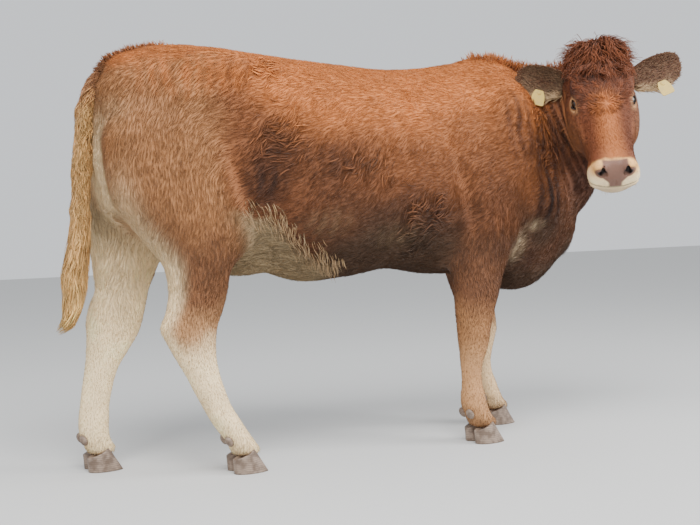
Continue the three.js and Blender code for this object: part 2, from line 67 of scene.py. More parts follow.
Array = np.ndarray

BODY = "root"
MM = 0.001
ORIGIN = np.array([81.0, -105.0, 0.0])  # where the frame's origin lies in the tables, in millimetres
FAR = 1000.0  # a distance that no blend reaches
X_AXIS, _, Z_AXIS = np.eye(3)


class Side(Enum):
    """The cow's own right and left."""

    RIGHT = -1
    LEFT = 1

    @property
    def word(self) -> str:
        """The side's name in lower case."""
        return self.name.lower()


class Leg(Enum):
    """The four legs."""

    FORE_RIGHT = "fore_right"
    FORE_LEFT = "fore_left"
    HIND_RIGHT = "hind_right"
    HIND_LEFT = "hind_left"


class Seed(IntEnum):
    """What fixes the random places of each set of hairs."""

    BODY = 101
    LEGS = 102
    FACE = 103
    WAVES = 104
    FRINGE = 105
    POLL = 111
    CURLS = 112
    CREST = 113
    EAR = 201
    EAR_BEND = 203
    TAIL = 301
    TAIL_WAVE = 302
    LASHES = 501


# ---------------------------------------------------------------- numbers


def unit(vectors: Array) -> Array:
    """Vectors at length one."""
    return vectors / np.maximum(np.linalg.norm(vectors, axis=-1, keepdims=True), 1e-9)


def dot(a: Array, b: Array) -> Array:
    """Row by row dot product."""
    return np.sum(a * b, axis=-1)


def step(low: float, high: float, value: Array) -> Array:
    """A smooth step from 0 at `low` to 1 at `high`."""
    t = np.clip((value - low) / (high - low), 0.0, 1.0)
    return t * t * (3.0 - 2.0 * t)


def bump(value: Array, middle: float, reach: float) -> Array:
    """A smooth hump of height 1 at `middle`, zero beyond `reach`."""
    return np.clip(1.0 - ((value - middle) / reach) ** 2, 0.0, 1.0) ** 2


def mound(points: Array, middle: Sequence[float], reach: Sequence[float]) -> Array:
    """A smooth mound of height 1 round a place, gone beyond its reach."""
    r2 = np.sum(((points - np.array(middle)) / np.array(reach)) ** 2, axis=-1)
    return np.clip(1.0 - r2, 0.0, 1.0) ** 2


def smooth_min(a: Array, b: Array, width: float) -> Array:
    """The smaller of two distances, rounded over `width` where they meet."""
    h = np.maximum(width - np.abs(a - b), 0.0) / width
    return np.minimum(a, b) - h * h * width * 0.25


def smooth_max(a: Array, b: Array, width: float) -> Array:
    """The larger of two distances, rounded over `width` where they meet."""
    return -smooth_min(-a, -b, width)


def to_frame(points: Array) -> Array:
    """Table millimetres to frame metres."""
    return (points - ORIGIN) * MM


@dataclass(frozen=True)
class Size:
    """A size that differs from hair to hair, held between two limits."""

    usual: float
    spread: float
    low: float
    high: float

    def draw(self, rng: np.random.Generator, count: int, *more: Array) -> Array:
        """Random sizes.

        Args:
            rng: the set's generator.
            count: how many sizes.
            more: what is added to the usual size of each.

        Returns:
            The sizes.
        """
        middle = self.usual
        for extra in more:
            middle = middle + extra
        return np.clip(middle + self.spread * rng.standard_normal(count), self.low, self.high)


class Noise:
    """Smooth repeatable noise in space, between -1 and 1."""

    SIZE = 32

    def __init__(self, seed: int) -> None:
        """Fills the lattice.

        Args:
            seed: picks the pattern.
        """
        self.lattice = np.random.default_rng(seed).uniform(-1.0, 1.0, (self.SIZE,) * 3)

    def at(self, points: Array, scale: float) -> Array:
        """Noise at points.

        Args:
            points: places, in millimetres.
            scale: size of one swing of the noise, in millimetres.

        Returns:
            One value for each point.
        """
        q = points / scale
        low = np.floor(q).astype(int)
        f = q - low
        f = f * f * (3.0 - 2.0 * f)
        total = np.zeros(len(points))
        for corner in np.ndindex(2, 2, 2):
            i, j, k = ((low + corner) % self.SIZE).T
            weight = np.prod(np.where(np.array(corner) == 1, f, 1.0 - f), axis=1)
            total += self.lattice[i, j, k] * weight
        return total


@dataclass
class Reading:
    """A smooth reading of a table of rows at any place along it."""

    places: Array
    rows: Array

    def __post_init__(self) -> None:
        """Works out the slope at each row: the mean of its neighbours' slopes."""
        slopes = np.diff(self.rows, axis=0) / np.diff(self.places)[:, None]
        self.slopes = np.vstack([slopes[:1], (slopes[1:] + slopes[:-1]) / 2, slopes[-1:]])

    def at(self, where: Array) -> Array:
        """The row at each place.

        Args:
            where: places along the table.

        Returns:
            One row for each place.
        """
        x = np.clip(where, self.places[0], self.places[-1])
        i = np.clip(np.searchsorted(self.places, x, side="right") - 1, 0, len(self.places) - 2)
        h = (self.places[i + 1] - self.places[i])[:, None]
        s = (x - self.places[i])[:, None] / h
        s2, s3 = s * s, s * s * s
        start, end = self.rows[i], self.rows[i + 1]
        rise = (s3 - 2 * s2 + s) * h * self.slopes[i] + (s3 - s2) * h * self.slopes[i + 1]
        return (2 * s3 - 3 * s2 + 1) * start + (3 * s2 - 2 * s3) * end + rise


# ---------------------------------------------------------------- the cow's tables
# The same rows as the solids': a middle, then reach up, down and to each side, then how square the
# upper and the lower half are.

# x, z, up, down, half, upper, lower
TRUNK = [
    [-852, 1040, 150, 190, 95, 2.3, 2.2],
    [-800, 1040, 224, 250, 168, 2.5, 2.2],
    [-700, 1040, 268, 310, 218, 2.7, 2.2],
    [-610, 1040, 281, 345, 240, 2.7, 2.1],
    [-480, 1010, 308, 378, 256, 2.6, 2.1],
    [-340, 960, 344, 355, 280, 2.3, 2.2],
    [-180, 912, 376, 358, 302, 2.1, 2.3],
    [-40, 896, 380, 338, 308, 2.0, 2.3],
    [120, 893, 371, 316, 298, 1.95, 2.3],
    [270, 900, 371, 346, 268, 1.85, 2.2],
    [400, 915, 376, 370, 246, 1.75, 2.2],
    [500, 925, 381, 404, 238, 1.7, 2.1],
    [590, 925, 372, 432, 226, 1.75, 2.0],
    [680, 900, 330, 392, 198, 1.9, 2.0],
    [760, 860, 270, 312, 160, 2, 2],
    [835, 800, 185, 200, 118, 2, 2],
    [886, 745, 110, 100, 78, 2, 2],
]
# x, y, z, up, down, half, upper, lower
NECK = [
    [420, 0, 975, 300, 380, 205, 1.8, 2],
    [540, 0, 990, 318, 400, 198, 1.65, 2],
    [650, -6, 1010, 298, 385, 180, 1.6, 1.9],
    [745, -26, 1040, 262, 335, 152, 1.55, 1.9],
    [828, -76, 1078, 218, 266, 126, 1.6, 1.9],
    [878, -150, 1108, 182, 205, 110, 1.8, 2],
    [886, -222, 1130, 150, 160, 98, 2, 2],
]
# along the face, dorsal, up, down, half, upper, lower
FACE = [
    [-222, -24, 74, 88, 82, 2.2, 2],
    [-165, -34, 98, 116, 102, 2.3, 2],
    [-100, -48, 116, 138, 110, 2.5, 2],
    [-40, -54, 122, 146, 109, 2.5, 2],
    [10, -54, 117, 142, 103, 2.2, 2],
    [70, -54, 108, 128, 100, 1.8, 2],
    [130, -54, 98, 108, 91, 1.7, 2.1],
    [190, -52, 86, 90, 80, 1.8, 2.2],
    [245, -54, 78, 80, 80, 2.2, 2.3],
    [285, -58, 66, 72, 84, 2.4, 2.3],
    [322, -64, 46, 56, 68, 2.5, 2.3],
]
# height, x, front, back, y, half
LEG_ROWS = {
    Leg.HIND_RIGHT: [
        [1130, -690, 150, 150, -150, 88],
        [1000, -680, 190, 168, -152, 110],
        [900, -668, 208, 174, -156, 112],
        [820, -650, 210, 170, -157, 110],
        [760, -620, 190, 157, -155, 103],
        [700, -590, 156, 136, -152, 94],
        [640, -568, 112, 113, -150, 82],
        [560, -565, 97, 97, -147, 66],
        [500, -577, 92, 92, -145, 57],
        [447, -595, 90, 91, -144, 50],
        [400, -590, 78, 76, -144, 47],
        [350, -578, 66, 62, -144, 42],
        [300, -560, 57, 52, -145, 38],
        [250, -541, 53, 47, -146, 37],
        [200, -518, 49, 44, -147, 39],
        [160, -492, 46, 48, -148, 46],
        [125, -470, 45, 47, -149, 48],
        [95, -452, 46, 42, -150, 50],
        [70, -440, 50, 42, -150, 51],
        [44, -432, 46, 38, -150, 44],
    ],
    Leg.HIND_LEFT: [
        [1130, -690, 150, 150, 150, 88],
        [1000, -690, 190, 158, 152, 110],
        [900, -695, 200, 153, 156, 112],
        [820, -695, 196, 150, 156, 110],
        [760, -700, 176, 140, 152, 103],
        [700, -705, 148, 130, 148, 94],
        [640, -712, 114, 116, 143, 82],
        [560, -730, 92, 92, 135, 66],
        [510, -745, 92, 96, 130, 58],
        [465, -760, 94, 92, 127, 51],
        [420, -767, 84, 85, 125, 47],
        [370, -785, 70, 70, 123, 42],
        [313, -807, 55, 55, 121, 38],
        [250, -823, 50, 50, 120, 37],
        [195, -832, 48, 49, 120, 39],
        [160, -835, 49, 50, 120, 46],
        [125, -835, 47, 50, 120, 48],
        [95, -831, 47, 46, 120, 50],
        [70, -823, 51, 44, 120, 51],
        [44, -815, 46, 40, 120, 44],
    ],
    Leg.FORE_RIGHT: [
        [800, 440, 118, 128, -160, 84],
        [700, 426, 114, 122, -160, 82],
        [620, 412, 104, 108, -152, 75],
        [550, 404, 92, 95, -147, 66],
        [500, 399, 84, 85, -144, 60],
        [444, 392, 72, 74, -142, 54],
        [390, 386, 62, 63, -141, 50],
        [350, 384, 57, 58, -140, 50],
        [310, 380, 51, 50, -140, 45],
        [270, 374, 42, 43, -140, 37],
        [230, 371, 37, 37, -140, 33],
        [190, 372, 38, 38, -140, 35],
        [160, 374, 42, 43, -140, 42],
        [125, 379, 44, 46, -140, 47],
        [95, 390, 44, 46, -140, 49],
        [70, 402, 50, 46, -140, 51],
        [44, 409, 46, 40, -140, 44],
    ],
    Leg.FORE_LEFT: [
        [800, 490, 118, 128, 160, 84],
        [700, 505, 112, 120, 160, 82],
        [620, 520, 103, 105, 152, 75],
        [550, 534, 92, 92, 147, 66],
        [500, 543, 85, 84, 144, 60],
        [444, 554, 76, 73, 142, 54],
        [390, 568, 66, 64, 141, 50],
        [345, 575, 61, 59, 140, 50],
        [305, 575, 51, 51, 140, 45],
        [265, 573, 43, 43, 140, 37],
        [227, 572, 38, 38, 140, 33],
        [190, 576, 38, 38, 140, 35],
        [160, 582, 42, 43, 140, 42],
        [125, 592, 44, 46, 140, 47],
        [95, 605, 44, 46, 140, 49],
        [70, 617, 50, 46, 140, 51],
        [44, 624, 46, 40, 140, 44],
    ],
}
FEET = {
    Leg.FORE_RIGHT: (404, -140),
    Leg.FORE_LEFT: (619, 140),
    Leg.HIND_RIGHT: (-438, -150),
    Leg.HIND_LEFT: (-821, 120),
}
# x, y, z, outward, inward, half
TAIL = [
    [-690, 0, 1232, 50, 60, 66],
    [-756, 0, 1222, 44, 54, 54],
    [-794, 0, 1205, 41, 46, 47],
    [-825, 0, 1176, 39, 42, 41],
    [-848, 0, 1126, 37, 38, 37],
    [-862, 0, 1056, 35, 35, 33],
    [-871, 0, 965, 33, 33, 31],
    [-880, 0, 850, 31, 31, 29],
    [-886, 0, 745, 34, 34, 32],
    [-896, 0, 670, 42, 42, 38],
    [-906, 0, 610, 43, 43, 40],
    [-908, 0, 560, 39, 39, 36],
    [-914, 0, 510, 30, 31, 28],
    [-930, 0, 468, 21, 22, 20],
    [-962, 0, 440, 8, 8, 8],
]


def mirrored(rows: list[list[float]]) -> list[list[float]]:
    """Each row on the right, then on the left."""
    return [[x, side * y, *rest] for side in (-1, 1) for x, y, *rest in rows]


# Swellings: a middle, then half sizes, then how widely each melts into its neighbours.
MUSCLES = mirrored(
    [
        [-497, 196, 1236, 110, 46, 52, 60],  # hook of the hip
        [-782, 110, 1160, 74, 52, 76, 60],  # pin of the buttock
        [520, 136, 960, 150, 108, 270, 44],  # shoulder blade
        [655, 128, 800, 105, 92, 115, 70],  # point of the shoulder
        [410, 168, 790, 125, 82, 140, 80],  # back of the upper arm
        [-500, 164, 810, 140, 84, 165, 80],  # front of the thigh
    ]
) + [
    [640, 0, 610, 130, 105, 118, 60],  # brisket
    [-385, 0, 660, 120, 105, 78, 40],  # udder
]
TEATS = mirrored([[-352, 34, 588, 10, 10, 24, 12], [-412, 32, 588, 10, 10, 24, 12]])
HEAD_MUSCLES = mirrored(
    [
        [0, 72, 8, 54, 29, 40, 24],  # bony ring round the eye
        [-24, 84, -96, 116, 44, 96, 44],  # cheek
        [292, 44, -12, 26, 28, 26, 16],  # wing of the nostril
        [-128, 92, -20, 44, 34, 40, 24],  # root of the ear
        [86, 80, -36, 62, 12, 14, 20],  # crest of the cheek bone
        [-16, 78, 34, 34, 16, 12, 16],  # ridge over the eye
        [262, 62, -74, 44, 22, 34, 22],  # pad of the upper lip
    ]
) + [
    [-50, 0, 38, 84, 98, 34, 30],  # brow
    [-200, 6, 36, 52, 98, 70, 30],  # poll
    [252, 0, -112, 52, 56, 36, 24],  # chin
]


# ---------------------------------------------------------------- forms as distances


@dataclass
class Swept:
    """A round-ended form laid along its sections, known by the distance to its surface."""

    middles: Array
    shapes: Array
    up: Array
    caps: tuple[float, float]
    along: Array | None = None
    samples: int = 90

    def __post_init__(self) -> None:
        """Sets out the places of the sections and the line's frames."""
        gaps = np.diff(self.middles, axis=0)
        lengths = gaps @ self.along if self.along is not None else np.linalg.norm(gaps, axis=1)
        places = np.concatenate([[0.0], np.cumsum(lengths)])
        self.length = float(places[-1])
        self.line = Reading(places, self.middles.astype(float))
        self.shape = Reading(places, self.shapes.astype(float))
        if self.along is None:
            self.marks_and_painted_light = np.linspace(0.0, self.length, self.samples)
            self.centres = self.line.at(self.marks_and_painted_light)
            self.tangents = self.tangent(self.marks_and_painted_light)
        reach = float(self.shapes[:, :3].max()) + 160.0
        self.low = self.middles.min(axis=0) - reach
        self.high = self.middles.max(axis=0) + reach

    def tangent(self, where: Array) -> Array:
        """The way the line runs at each place.

        Args:
            where: places along the line.

        Returns:
            One unit vector for each place.
        """
        if self.along is not None:
            return np.broadcast_to(self.along, (len(where), 3))
        return unit(self.line.at(where + 2.0) - self.line.at(where - 2.0))

    def place(self, points: Array) -> Array:
        """How far along the line each point lies.

        Args:
            points: places, in millimetres.

        Returns:
            One place along the line for each point.
        """
        if self.along is not None:
            return (points - self.middles[0]) @ self.along
        square = np.sum(self.centres**2, axis=1)
        near = np.argmin(square[None, :] - 2.0 * points @ self.centres.T, axis=1)
        past = dot(points - self.centres[near], self.tangents[near])
        gap = self.length / (self.samples - 1)
        inner = np.clip(past, -gap, gap)
        free = ((near == 0) & (past < 0)) | ((near == self.samples - 1) & (past > 0))
        return self.marks_and_painted_light[near] + np.where(free, past, inner)

    def section(self, points: Array) -> tuple[Array, Array, Array, Array]:
        """Where each point lies in its section.

        Args:
            points: places, in millimetres.

        Returns:
            Place along the line, offset upward, offset sideways, and the section's shape.
        """
        where = self.place(points)
        tangent = self.tangent(np.clip(where, 0.0, self.length))
        side = unit(np.cross(np.broadcast_to(self.up, tangent.shape), tangent))
        upward = np.cross(tangent, side)
        from_middle = points - self.line.at(where)
        return where, dot(from_middle, upward), dot(from_middle, side), self.shape.at(where)

    def distance(self, points: Array) -> Array:
        """Distance to the form's surface, negative inside it.

        Args:
            points: places, in millimetres.

        Returns:
            One distance for each point; FAR where the form is out of reach.
        """
        out = np.full(len(points), FAR)
        near = np.all((points > self.low) & (points < self.high), axis=1)
        if not near.any():
            return out
        where, rise, aside, shape = self.section(points[near])
        upper = rise >= 0
        reach = np.where(upper, shape[:, 0], shape[:, 1])
        power = np.where(upper, shape[:, 3], shape[:, 4])
        ratio = (np.abs(rise) / reach) ** power + (np.abs(aside) / shape[:, 2]) ** power
        ratio = np.maximum(ratio, 1e-12) ** (1.0 / power)
        head, foot = self.caps
        before = np.maximum((head - where) / head, 0.0)
        after = np.maximum((foot - (self.length - where)) / foot, 0.0)
        full = np.sqrt(ratio**2 + before**2 + after**2)
        span = np.sqrt(rise**2 + aside**2 + (before * head) ** 2 + (after * foot) ** 2)
        out[near] = span - span / np.maximum(full, 1e-6)
        return out


def swelling(points: Array, row: Sequence[float]) -> Array:
    """Distance to a swelling's ellipsoid, negative inside it.

    Args:
        points: places, in millimetres.
        row: its middle, then its half sizes.

    Returns:
        One distance for each point; FAR where it is out of reach.
    """
    out = np.full(len(points), FAR)
    middle, half = np.array(row[:3]), np.array(row[3:6])
    near = np.all(np.abs(points - middle) < half + 150.0, axis=1)
    q = points[near] - middle
    k0 = np.linalg.norm(q / half, axis=1)
    k1 = np.maximum(np.linalg.norm(q / half**2, axis=1), 1e-9)
    out[near] = k0 * (k0 - 1.0) / k1
    return out


def trunk_form() -> Swept:
    """The trunk.

    Returns:
        The form.
    """
    rows = np.array(TRUNK, float)
    middles = np.stack([rows[:, 0], 0 * rows[:, 0], rows[:, 1]], axis=1)
    return Swept(middles, rows[:, 2:], Z_AXIS, (60.0, 62.0), X_AXIS)


def neck_form() -> Swept:
    """The bent neck."""
    rows = np.array(NECK, float)
    return Swept(rows[:, :3], rows[:, 3:], Z_AXIS, (60.0, 50.0))


def face_form() -> Swept:
    """The head, in its own frame.

    Returns:
        The form.
    """
    rows = np.array(FACE, float)
    middles = np.stack([rows[:, 0], 0 * rows[:, 0], rows[:, 1]], axis=1)
    return Swept(middles, rows[:, 2:], Z_AXIS, (46.0, 30.0), X_AXIS)


def leg_form(leg: Leg) -> Swept:
    """One leg, from within the body down to the coronet.

    Args:
        leg: which leg.

    Returns:
        The form.
    """
    rows = np.array(LEG_ROWS[leg], float)
    middles = rows[:, [1, 4, 0]]
    shapes = np.column_stack([rows[:, [2, 3, 5]], np.full((len(rows), 2), 2.1)])
    return Swept(middles, shapes, X_AXIS, (120.0, 20.0), -Z_AXIS)


def tail_form() -> Swept:
    """The tail with all its hair.

    Returns:
        The form.
    """
    rows = np.array(TAIL, float)
    shapes = np.column_stack([rows[:, 3:], np.full((len(rows), 2), 2.0)])
    return Swept(rows[:, :3], shapes, np.array([-1.0, 0.0, 0.35]), (30.0, 20.0), samples=160)


@dataclass(frozen=True)
class HeadPlace:
    """Where the head is held: its own frame has +X down the face, +Y to its left and +Z dorsal."""

    at: tuple[float, float, float] = (820.0, -299.0, 1121.0)
    yaw: float = -117.0
    pitch: float = 47.0
    roll: float = 4.0

    @property
    def turn(self) -> Array:
        """The head's axes as columns.

        Returns:
            A turning matrix.
        """
        turns = [Matrix.Rotation(math.radians(a), 3, x) for a, x in
                 ((self.yaw, "Z"), (self.pitch, "Y"), (self.roll, "X"))]
        return np.array(turns[0] @ turns[1] @ turns[2])

    def enter(self, points: Array) -> Array:
        """Table points in the head's frame."""
        return (points - np.array(self.at)) @ self.turn

    def leave(self, points: Array) -> Array:
        """Points of the head's frame in the tables."""
        return points @ self.turn.T + np.array(self.at)

    def swing(self, vectors: Array) -> Array:
        """Directions of the head's frame in the tables."""
        return vectors @ self.turn.T


HEAD = HeadPlace()


@dataclass(frozen=True)
class EyePlan:
    """An eye in the head's frame."""

    radius: float = 19.5
    middle: tuple[float, float, float] = (2.0, 84.5, 3.0)
    gaze: tuple[float, float, float] = (0.46, 0.76, 0.46)
    slant: tuple[float, float, float] = (-1.0, 0.25, 0.20)
    lid: float = 3.6  # thickness of the lids over the eyeball
    half_length: float = 19.5
    upper: float = 12.5
    lower: float = 10.5

    def axes(self, side: Side) -> tuple[Array, Array, Array, Array]:
        """The eye's middle, gaze, long axis towards the outer corner, and upward axis.

        Args:
            side: which side of the cow.

        Returns:
            The middle, then three unit vectors.
        """
        flip = np.array([1.0, side.value, 1.0])
        middle, gaze = np.array(self.middle) * flip, unit(np.array(self.gaze) * flip)
        slant = np.array(self.slant) * flip
        long = unit(slant - gaze * float(slant @ gaze))
        upward = np.cross(gaze, long) * (1 if side is Side.RIGHT else -1)
        return middle, gaze, long, upward

    def enter(self, points: Array, side: Side) -> Array:
        """Head points as (along the lids, upward, outward) from the eye's middle."""
        middle, gaze, long, upward = self.axes(side)
        return (points - middle) @ np.stack([long, upward, gaze], axis=1)


EYE = EyePlan()


def mouth_line(at_head: Array) -> Array:
    """Height of the line between the lips at points of the head's frame."""
    x, y, _ = at_head.T
    return -86.0 + 0.05 * (x - 300.0) + 8.0 * (y / 70.0) ** 2 * step(240.0, 320.0, x)


# Pits of the nostril from its lower to its upper end: a middle, then half sizes.
NOSTRIL = (((316, 34, -30), (17, 10, 11)), ((309, 41, -23), (17, 10, 13)), ((303, 40, -11), (15, 7, 11)))


@dataclass(frozen=True)
class Crease:
    """A slanting line down both sides, where the skin dips."""

    along: float  # where it lies along the body, at the height `level`
    level: float
    slant: float  # how far it moves back for each millimetre up
    depth: float
    reach: float
    deepest: float  # the height where it is deepest
    tall: float
    out: tuple[float, float] = (-2.0, -1.0)  # how far out from the middle it begins, and is full

    def dip(self, points: Array) -> Array:
        """How far the skin lies lower at each point.

        Args:
            points: places, in millimetres.

        Returns:
            One depth for each point.
        """
        x, y, z = points.T
        line = x - (self.along - self.slant * (z - self.level))
        strength = self.depth * bump(line, 0.0, self.reach) * bump(z, self.deepest, self.tall)
        return strength * step(*self.out, np.abs(y))


CREASES = (
    Crease(330.0, 800.0, 0.28, 9.0, 46.0, 800.0, 300.0, (90.0, 180.0)),  # behind the shoulder
    Crease(705.0, 800.0, 0.42, 8.0, 40.0, 900.0, 300.0, (40.0, 110.0)),  # before the shoulder
    Crease(560.0, 900.0, 0.30, 4.0, 34.0, 960.0, 220.0),  # along the blade
    Crease(-430.0, 800.0, 0.30, 7.0, 42.0, 850.0, 200.0, (120.0, 200.0)),  # before the thigh
    Crease(-640.0, 900.0, 0.1, 4.0, 36.0, 900.0, 260.0, (100.0, 170.0)),  # down the thigh
)


@dataclass
class Body:
    """The whole body as one smooth distance, with the coat's depth taken off."""

    trunk: Swept = field(default_factory=trunk_form)
    neck: Swept = field(default_factory=neck_form)
    face: Swept = field(default_factory=face_form)
    legs: dict[Leg, Swept] = field(default_factory=lambda: {leg: leg_form(leg) for leg in Leg})
    folds: Noise = field(default_factory=lambda: Noise(11))

    # How widely each form melts into the rest, and how deep the coat is on it.
    neck_melt: float = 26.0
    leg_melt: float = 60.0
    face_melt: float = 34.0
    trunk_coat: float = 13.0
    neck_coat: float = 14.0
    face_coat: float = 5.0
    poll_coat: float = 20.0

    def parts(self, points: Array) -> dict[str, Array]:
        """Distance to each main form, and the points in the head's frame.

        Args:
            points: places, in millimetres.

        Returns:
            The distances by name, and the places in the head's frame as "head".
        """
        at_head = HEAD.enter(points)
        out = {"head": at_head, "trunk": self.trunk.distance(points), "neck": self.neck.distance(points)}
        out["face"] = self.face.distance(at_head)
        for row in HEAD_MUSCLES:
            out["face"] = smooth_min(out["face"], swelling(at_head, row), row[6])
        for leg, form in self.legs.items():
            out[leg.value] = form.distance(points)
        return out

    def leg_coat(self, height: Array) -> Array:
        """Depth of the coat on the legs at a height above the ground."""
        return 3.5 + 8.0 * step(380.0, 760.0, height)

    def coat(self, points: Array, parts: dict[str, Array]) -> Array:
        """Depth of the coat at each point, from the forms it is nearest to.

        Args:
            points: places, in millimetres.
            parts: distance to each main form there.

        Returns:
            One depth for each point.
        """
        leg = np.min([parts[leg.value] for leg in Leg], axis=0)
        body = np.minimum(parts["trunk"], parts["neck"])
        on_leg = 1.0 - step(-24.0, 24.0, leg - body)
        on_face = 1.0 - step(-16.0, 26.0, parts["face"] - np.minimum(body, leg))
        depth = self.trunk_coat + (self.neck_coat - self.trunk_coat) * step(420.0, 700.0, points[:, 0])
        depth = depth + (self.leg_coat(points[:, 2]) - depth) * on_leg
        depth = depth + (self.face_coat - depth) * on_face
        under = mound(points, (-330, 0, 600), (330, 200, 130))
        depth = depth + (7.0 - depth) * under
        poll = mound(parts["head"], (-225, 0, 70), (190, 190, 170))
        return depth + (self.poll_coat - depth) * poll

    def distance(self, points: Array) -> Array:
        """Distance to the skin, negative inside it.

        Args:
            points: places, in millimetres.

        Returns:
            One distance for each point.
        """
        parts = self.parts(points)
        d = smooth_min(parts["trunk"], parts["neck"], self.neck_melt)
        for leg in Leg:
            d = smooth_min(d, parts[leg.value], self.leg_melt)
        for row in MUSCLES + TEATS:
            d = smooth_min(d, swelling(points, row), row[6])
        d = smooth_min(d, parts["face"], self.face_melt)
        d = d + self.coat(points, parts)
        d = d - self.relief(points, parts)
        return self.carve_head(d, parts["head"])

    def relief(self, points: Array, parts: dict[str, Array]) -> Array:
        """Folds and hollows of the body: how far the skin stands out at each point.

        Args:
            points: places, in millimetres.
            parts: distance to each main form there.

        Returns:
            One height for each point.
        """
        out = np.zeros(len(points))
        near = np.abs(np.minimum(parts["trunk"], parts["neck"])) < 80.0
        if not near.any():
            return out
        q = points[near]
        x, _, z = q.T
        rise = np.zeros(len(q))
        for side in Side:
            rise -= 4.0 * mound(q, (-330, side.value * 250, 1120), (190, 150, 140))  # before the hip
        ribs = np.sin((x + 0.25 * (z - 900.0)) * 2 * math.pi / 62.0)
        rise += 1.1 * ribs * bump(x, 30.0, 300.0) * bump(z, 960.0, 260.0)
        for crease in CREASES:
            rise -= crease.dip(q)
        out[near] = rise + self.neck_folds(q)
        return out

    def neck_folds(self, points: Array) -> Array:
        """The skin's folds on the inside of the neck's bend.

        Args:
            points: places, in millimetres.

        Returns:
            One height for each point.
        """
        where, rise, aside, shape = self.neck.section(points)
        right = step(0.1, 0.6, -aside / shape[:, 2])
        height = bump(rise, -40.0, 240.0)
        along = bump(where, 380.0, 150.0)
        wave = np.sin(where * 2 * math.pi / 46.0 + 0.9 * self.folds.at(points, 130.0) + rise * 0.006)
        return right * height * along * (6.5 * np.sign(wave) * np.abs(wave) ** 0.7 - 2.0)

    def carve_head(self, d: Array, at_head: Array) -> Array:
        """Lids, nostrils and mouth.

        Args:
            d: distance to the skin before carving.
            at_head: the points in the head's frame.

        Returns:
            The distance after carving.
        """
        out = d.copy()
        near = (at_head[:, 0] > -80.0) & (at_head[:, 0] < 370.0) & (np.abs(d) < 60.0)
        near &= (np.abs(at_head[:, 1]) < 170.0) & (np.abs(at_head[:, 2] + 40.0) < 170.0)
        if near.any():
            h = at_head[near]
            face = d[near]
            for side in Side:
                face = self.lids(face, h, side)
                face = self.nostril(face, h, side)
            out[near] = self.mouth(face, h)
        return out

    def lids(self, d: Array, h: Array, side: Side) -> Array:
        """One eye's lids, with the opening between them.

        Args:
            d: distance to the skin without it.
            h: places in the head's frame.
            side: which side of the cow.

        Returns:
            The distance with it.
        """
        e = EYE.enter(h, side)
        ball = np.linalg.norm(e, axis=1)
        d = smooth_min(d, ball - (EYE.radius + EYE.lid), 12.0)
        along, height = e[:, 0] / EYE.half_length, e[:, 1] + 1.0
        crease = np.hypot(along * 0.82, (height - 1.0) / 17.5)
        front = step(0.0, 8.0, e[:, 2])
        d = d + 2.2 * bump(crease, 1.0, 0.16) * front * step(-2.0, 6.0, e[:, 1])
        d = d + 1.4 * bump(crease, 1.0, 0.14) * front * step(2.0, -6.0, e[:, 1])
        arch = np.maximum(1.0 - along**2, -1.0)
        gap = np.where(height > 0, height - EYE.upper * arch, -height - EYE.lower * arch)
        pit = smooth_max(gap, 7.0 - e[:, 2], 1.5)
        return smooth_max(d, -pit, 1.6)

    def nostril(self, d: Array, h: Array, side: Side) -> Array:
        """One nostril: a comma that runs up and out from beside the pad.

        Args:
            d: distance to the skin without it.
            h: places in the head's frame.
            side: which side of the cow.

        Returns:
            The distance with it.
        """
        flip = np.array([1.0, side.value, 1.0])
        out = d
        for middle, half in NOSTRIL:
            pit = swelling(h * flip, [*middle, *half])
            out = smooth_max(out, -pit, 4.0)
        return out

    def mouth(self, d: Array, h: Array) -> Array:
        """The line between the lips, the lip's middle groove and the pad's edge.

        Args:
            d: distance to the skin without it.
            h: places in the head's frame.

        Returns:
            The distance with it.
        """
        x, y, z = h.T
        run = step(128.0, 168.0, x)
        groove = bump(z - mouth_line(h), 0.0, 7.0)
        d = d + 6.0 * groove * run
        cleft = bump(y, 0.0, 5.0) * step(296.0, 316.0, x) * bump(z, -66.0, 22.0)
        return d + 3.0 * cleft

    def near_weights(self, points: Array) -> dict[str, Array]:
        """How much each point belongs to each main form: shares that sum to one.

        Args:
            points: places, in millimetres.

        Returns:
            The shares, by the form's name.
        """
        parts = self.parts(points)
        names = ["trunk", "neck", "face", *(leg.value for leg in Leg)]
        scores = {name: np.exp(-np.clip(parts[name], -60.0, 400.0) / 16.0) for name in names}
        total = sum(scores.values())
        return {name: score / total for name, score in scores.items()}


def slope_of(
    distance: Callable[[Array], Array], points: Array, here: Array, reach: float = 0.8
) -> Array:
    """The way a distance rises at each point, not scaled to one."""
    return np.stack([distance(points + reach * axis) - here for axis in np.eye(3)], axis=1) / reach


def settle(distance: Callable[[Array], Array], points: Array, rounds: int) -> Array:
    """Moves points onto the surface where the distance is zero.

    Args:
        distance: the surface, as a distance at any place.
        points: places, in millimetres.
        rounds: how often they are moved.

    Returns:
        The moved points.
    """
    for _ in range(rounds):
        here = distance(points)
        slope = slope_of(distance, points, here)
        size = np.maximum(np.sum(slope * slope, axis=1), 0.2)
        shift = (here / size)[:, None] * slope
        length = np.linalg.norm(shift, axis=1, keepdims=True)
        points = points - shift * np.minimum(1.0, 6.0 / np.maximum(length, 1e-9))
    return points


# ---------------------------------------------------------------- the skin's mesh


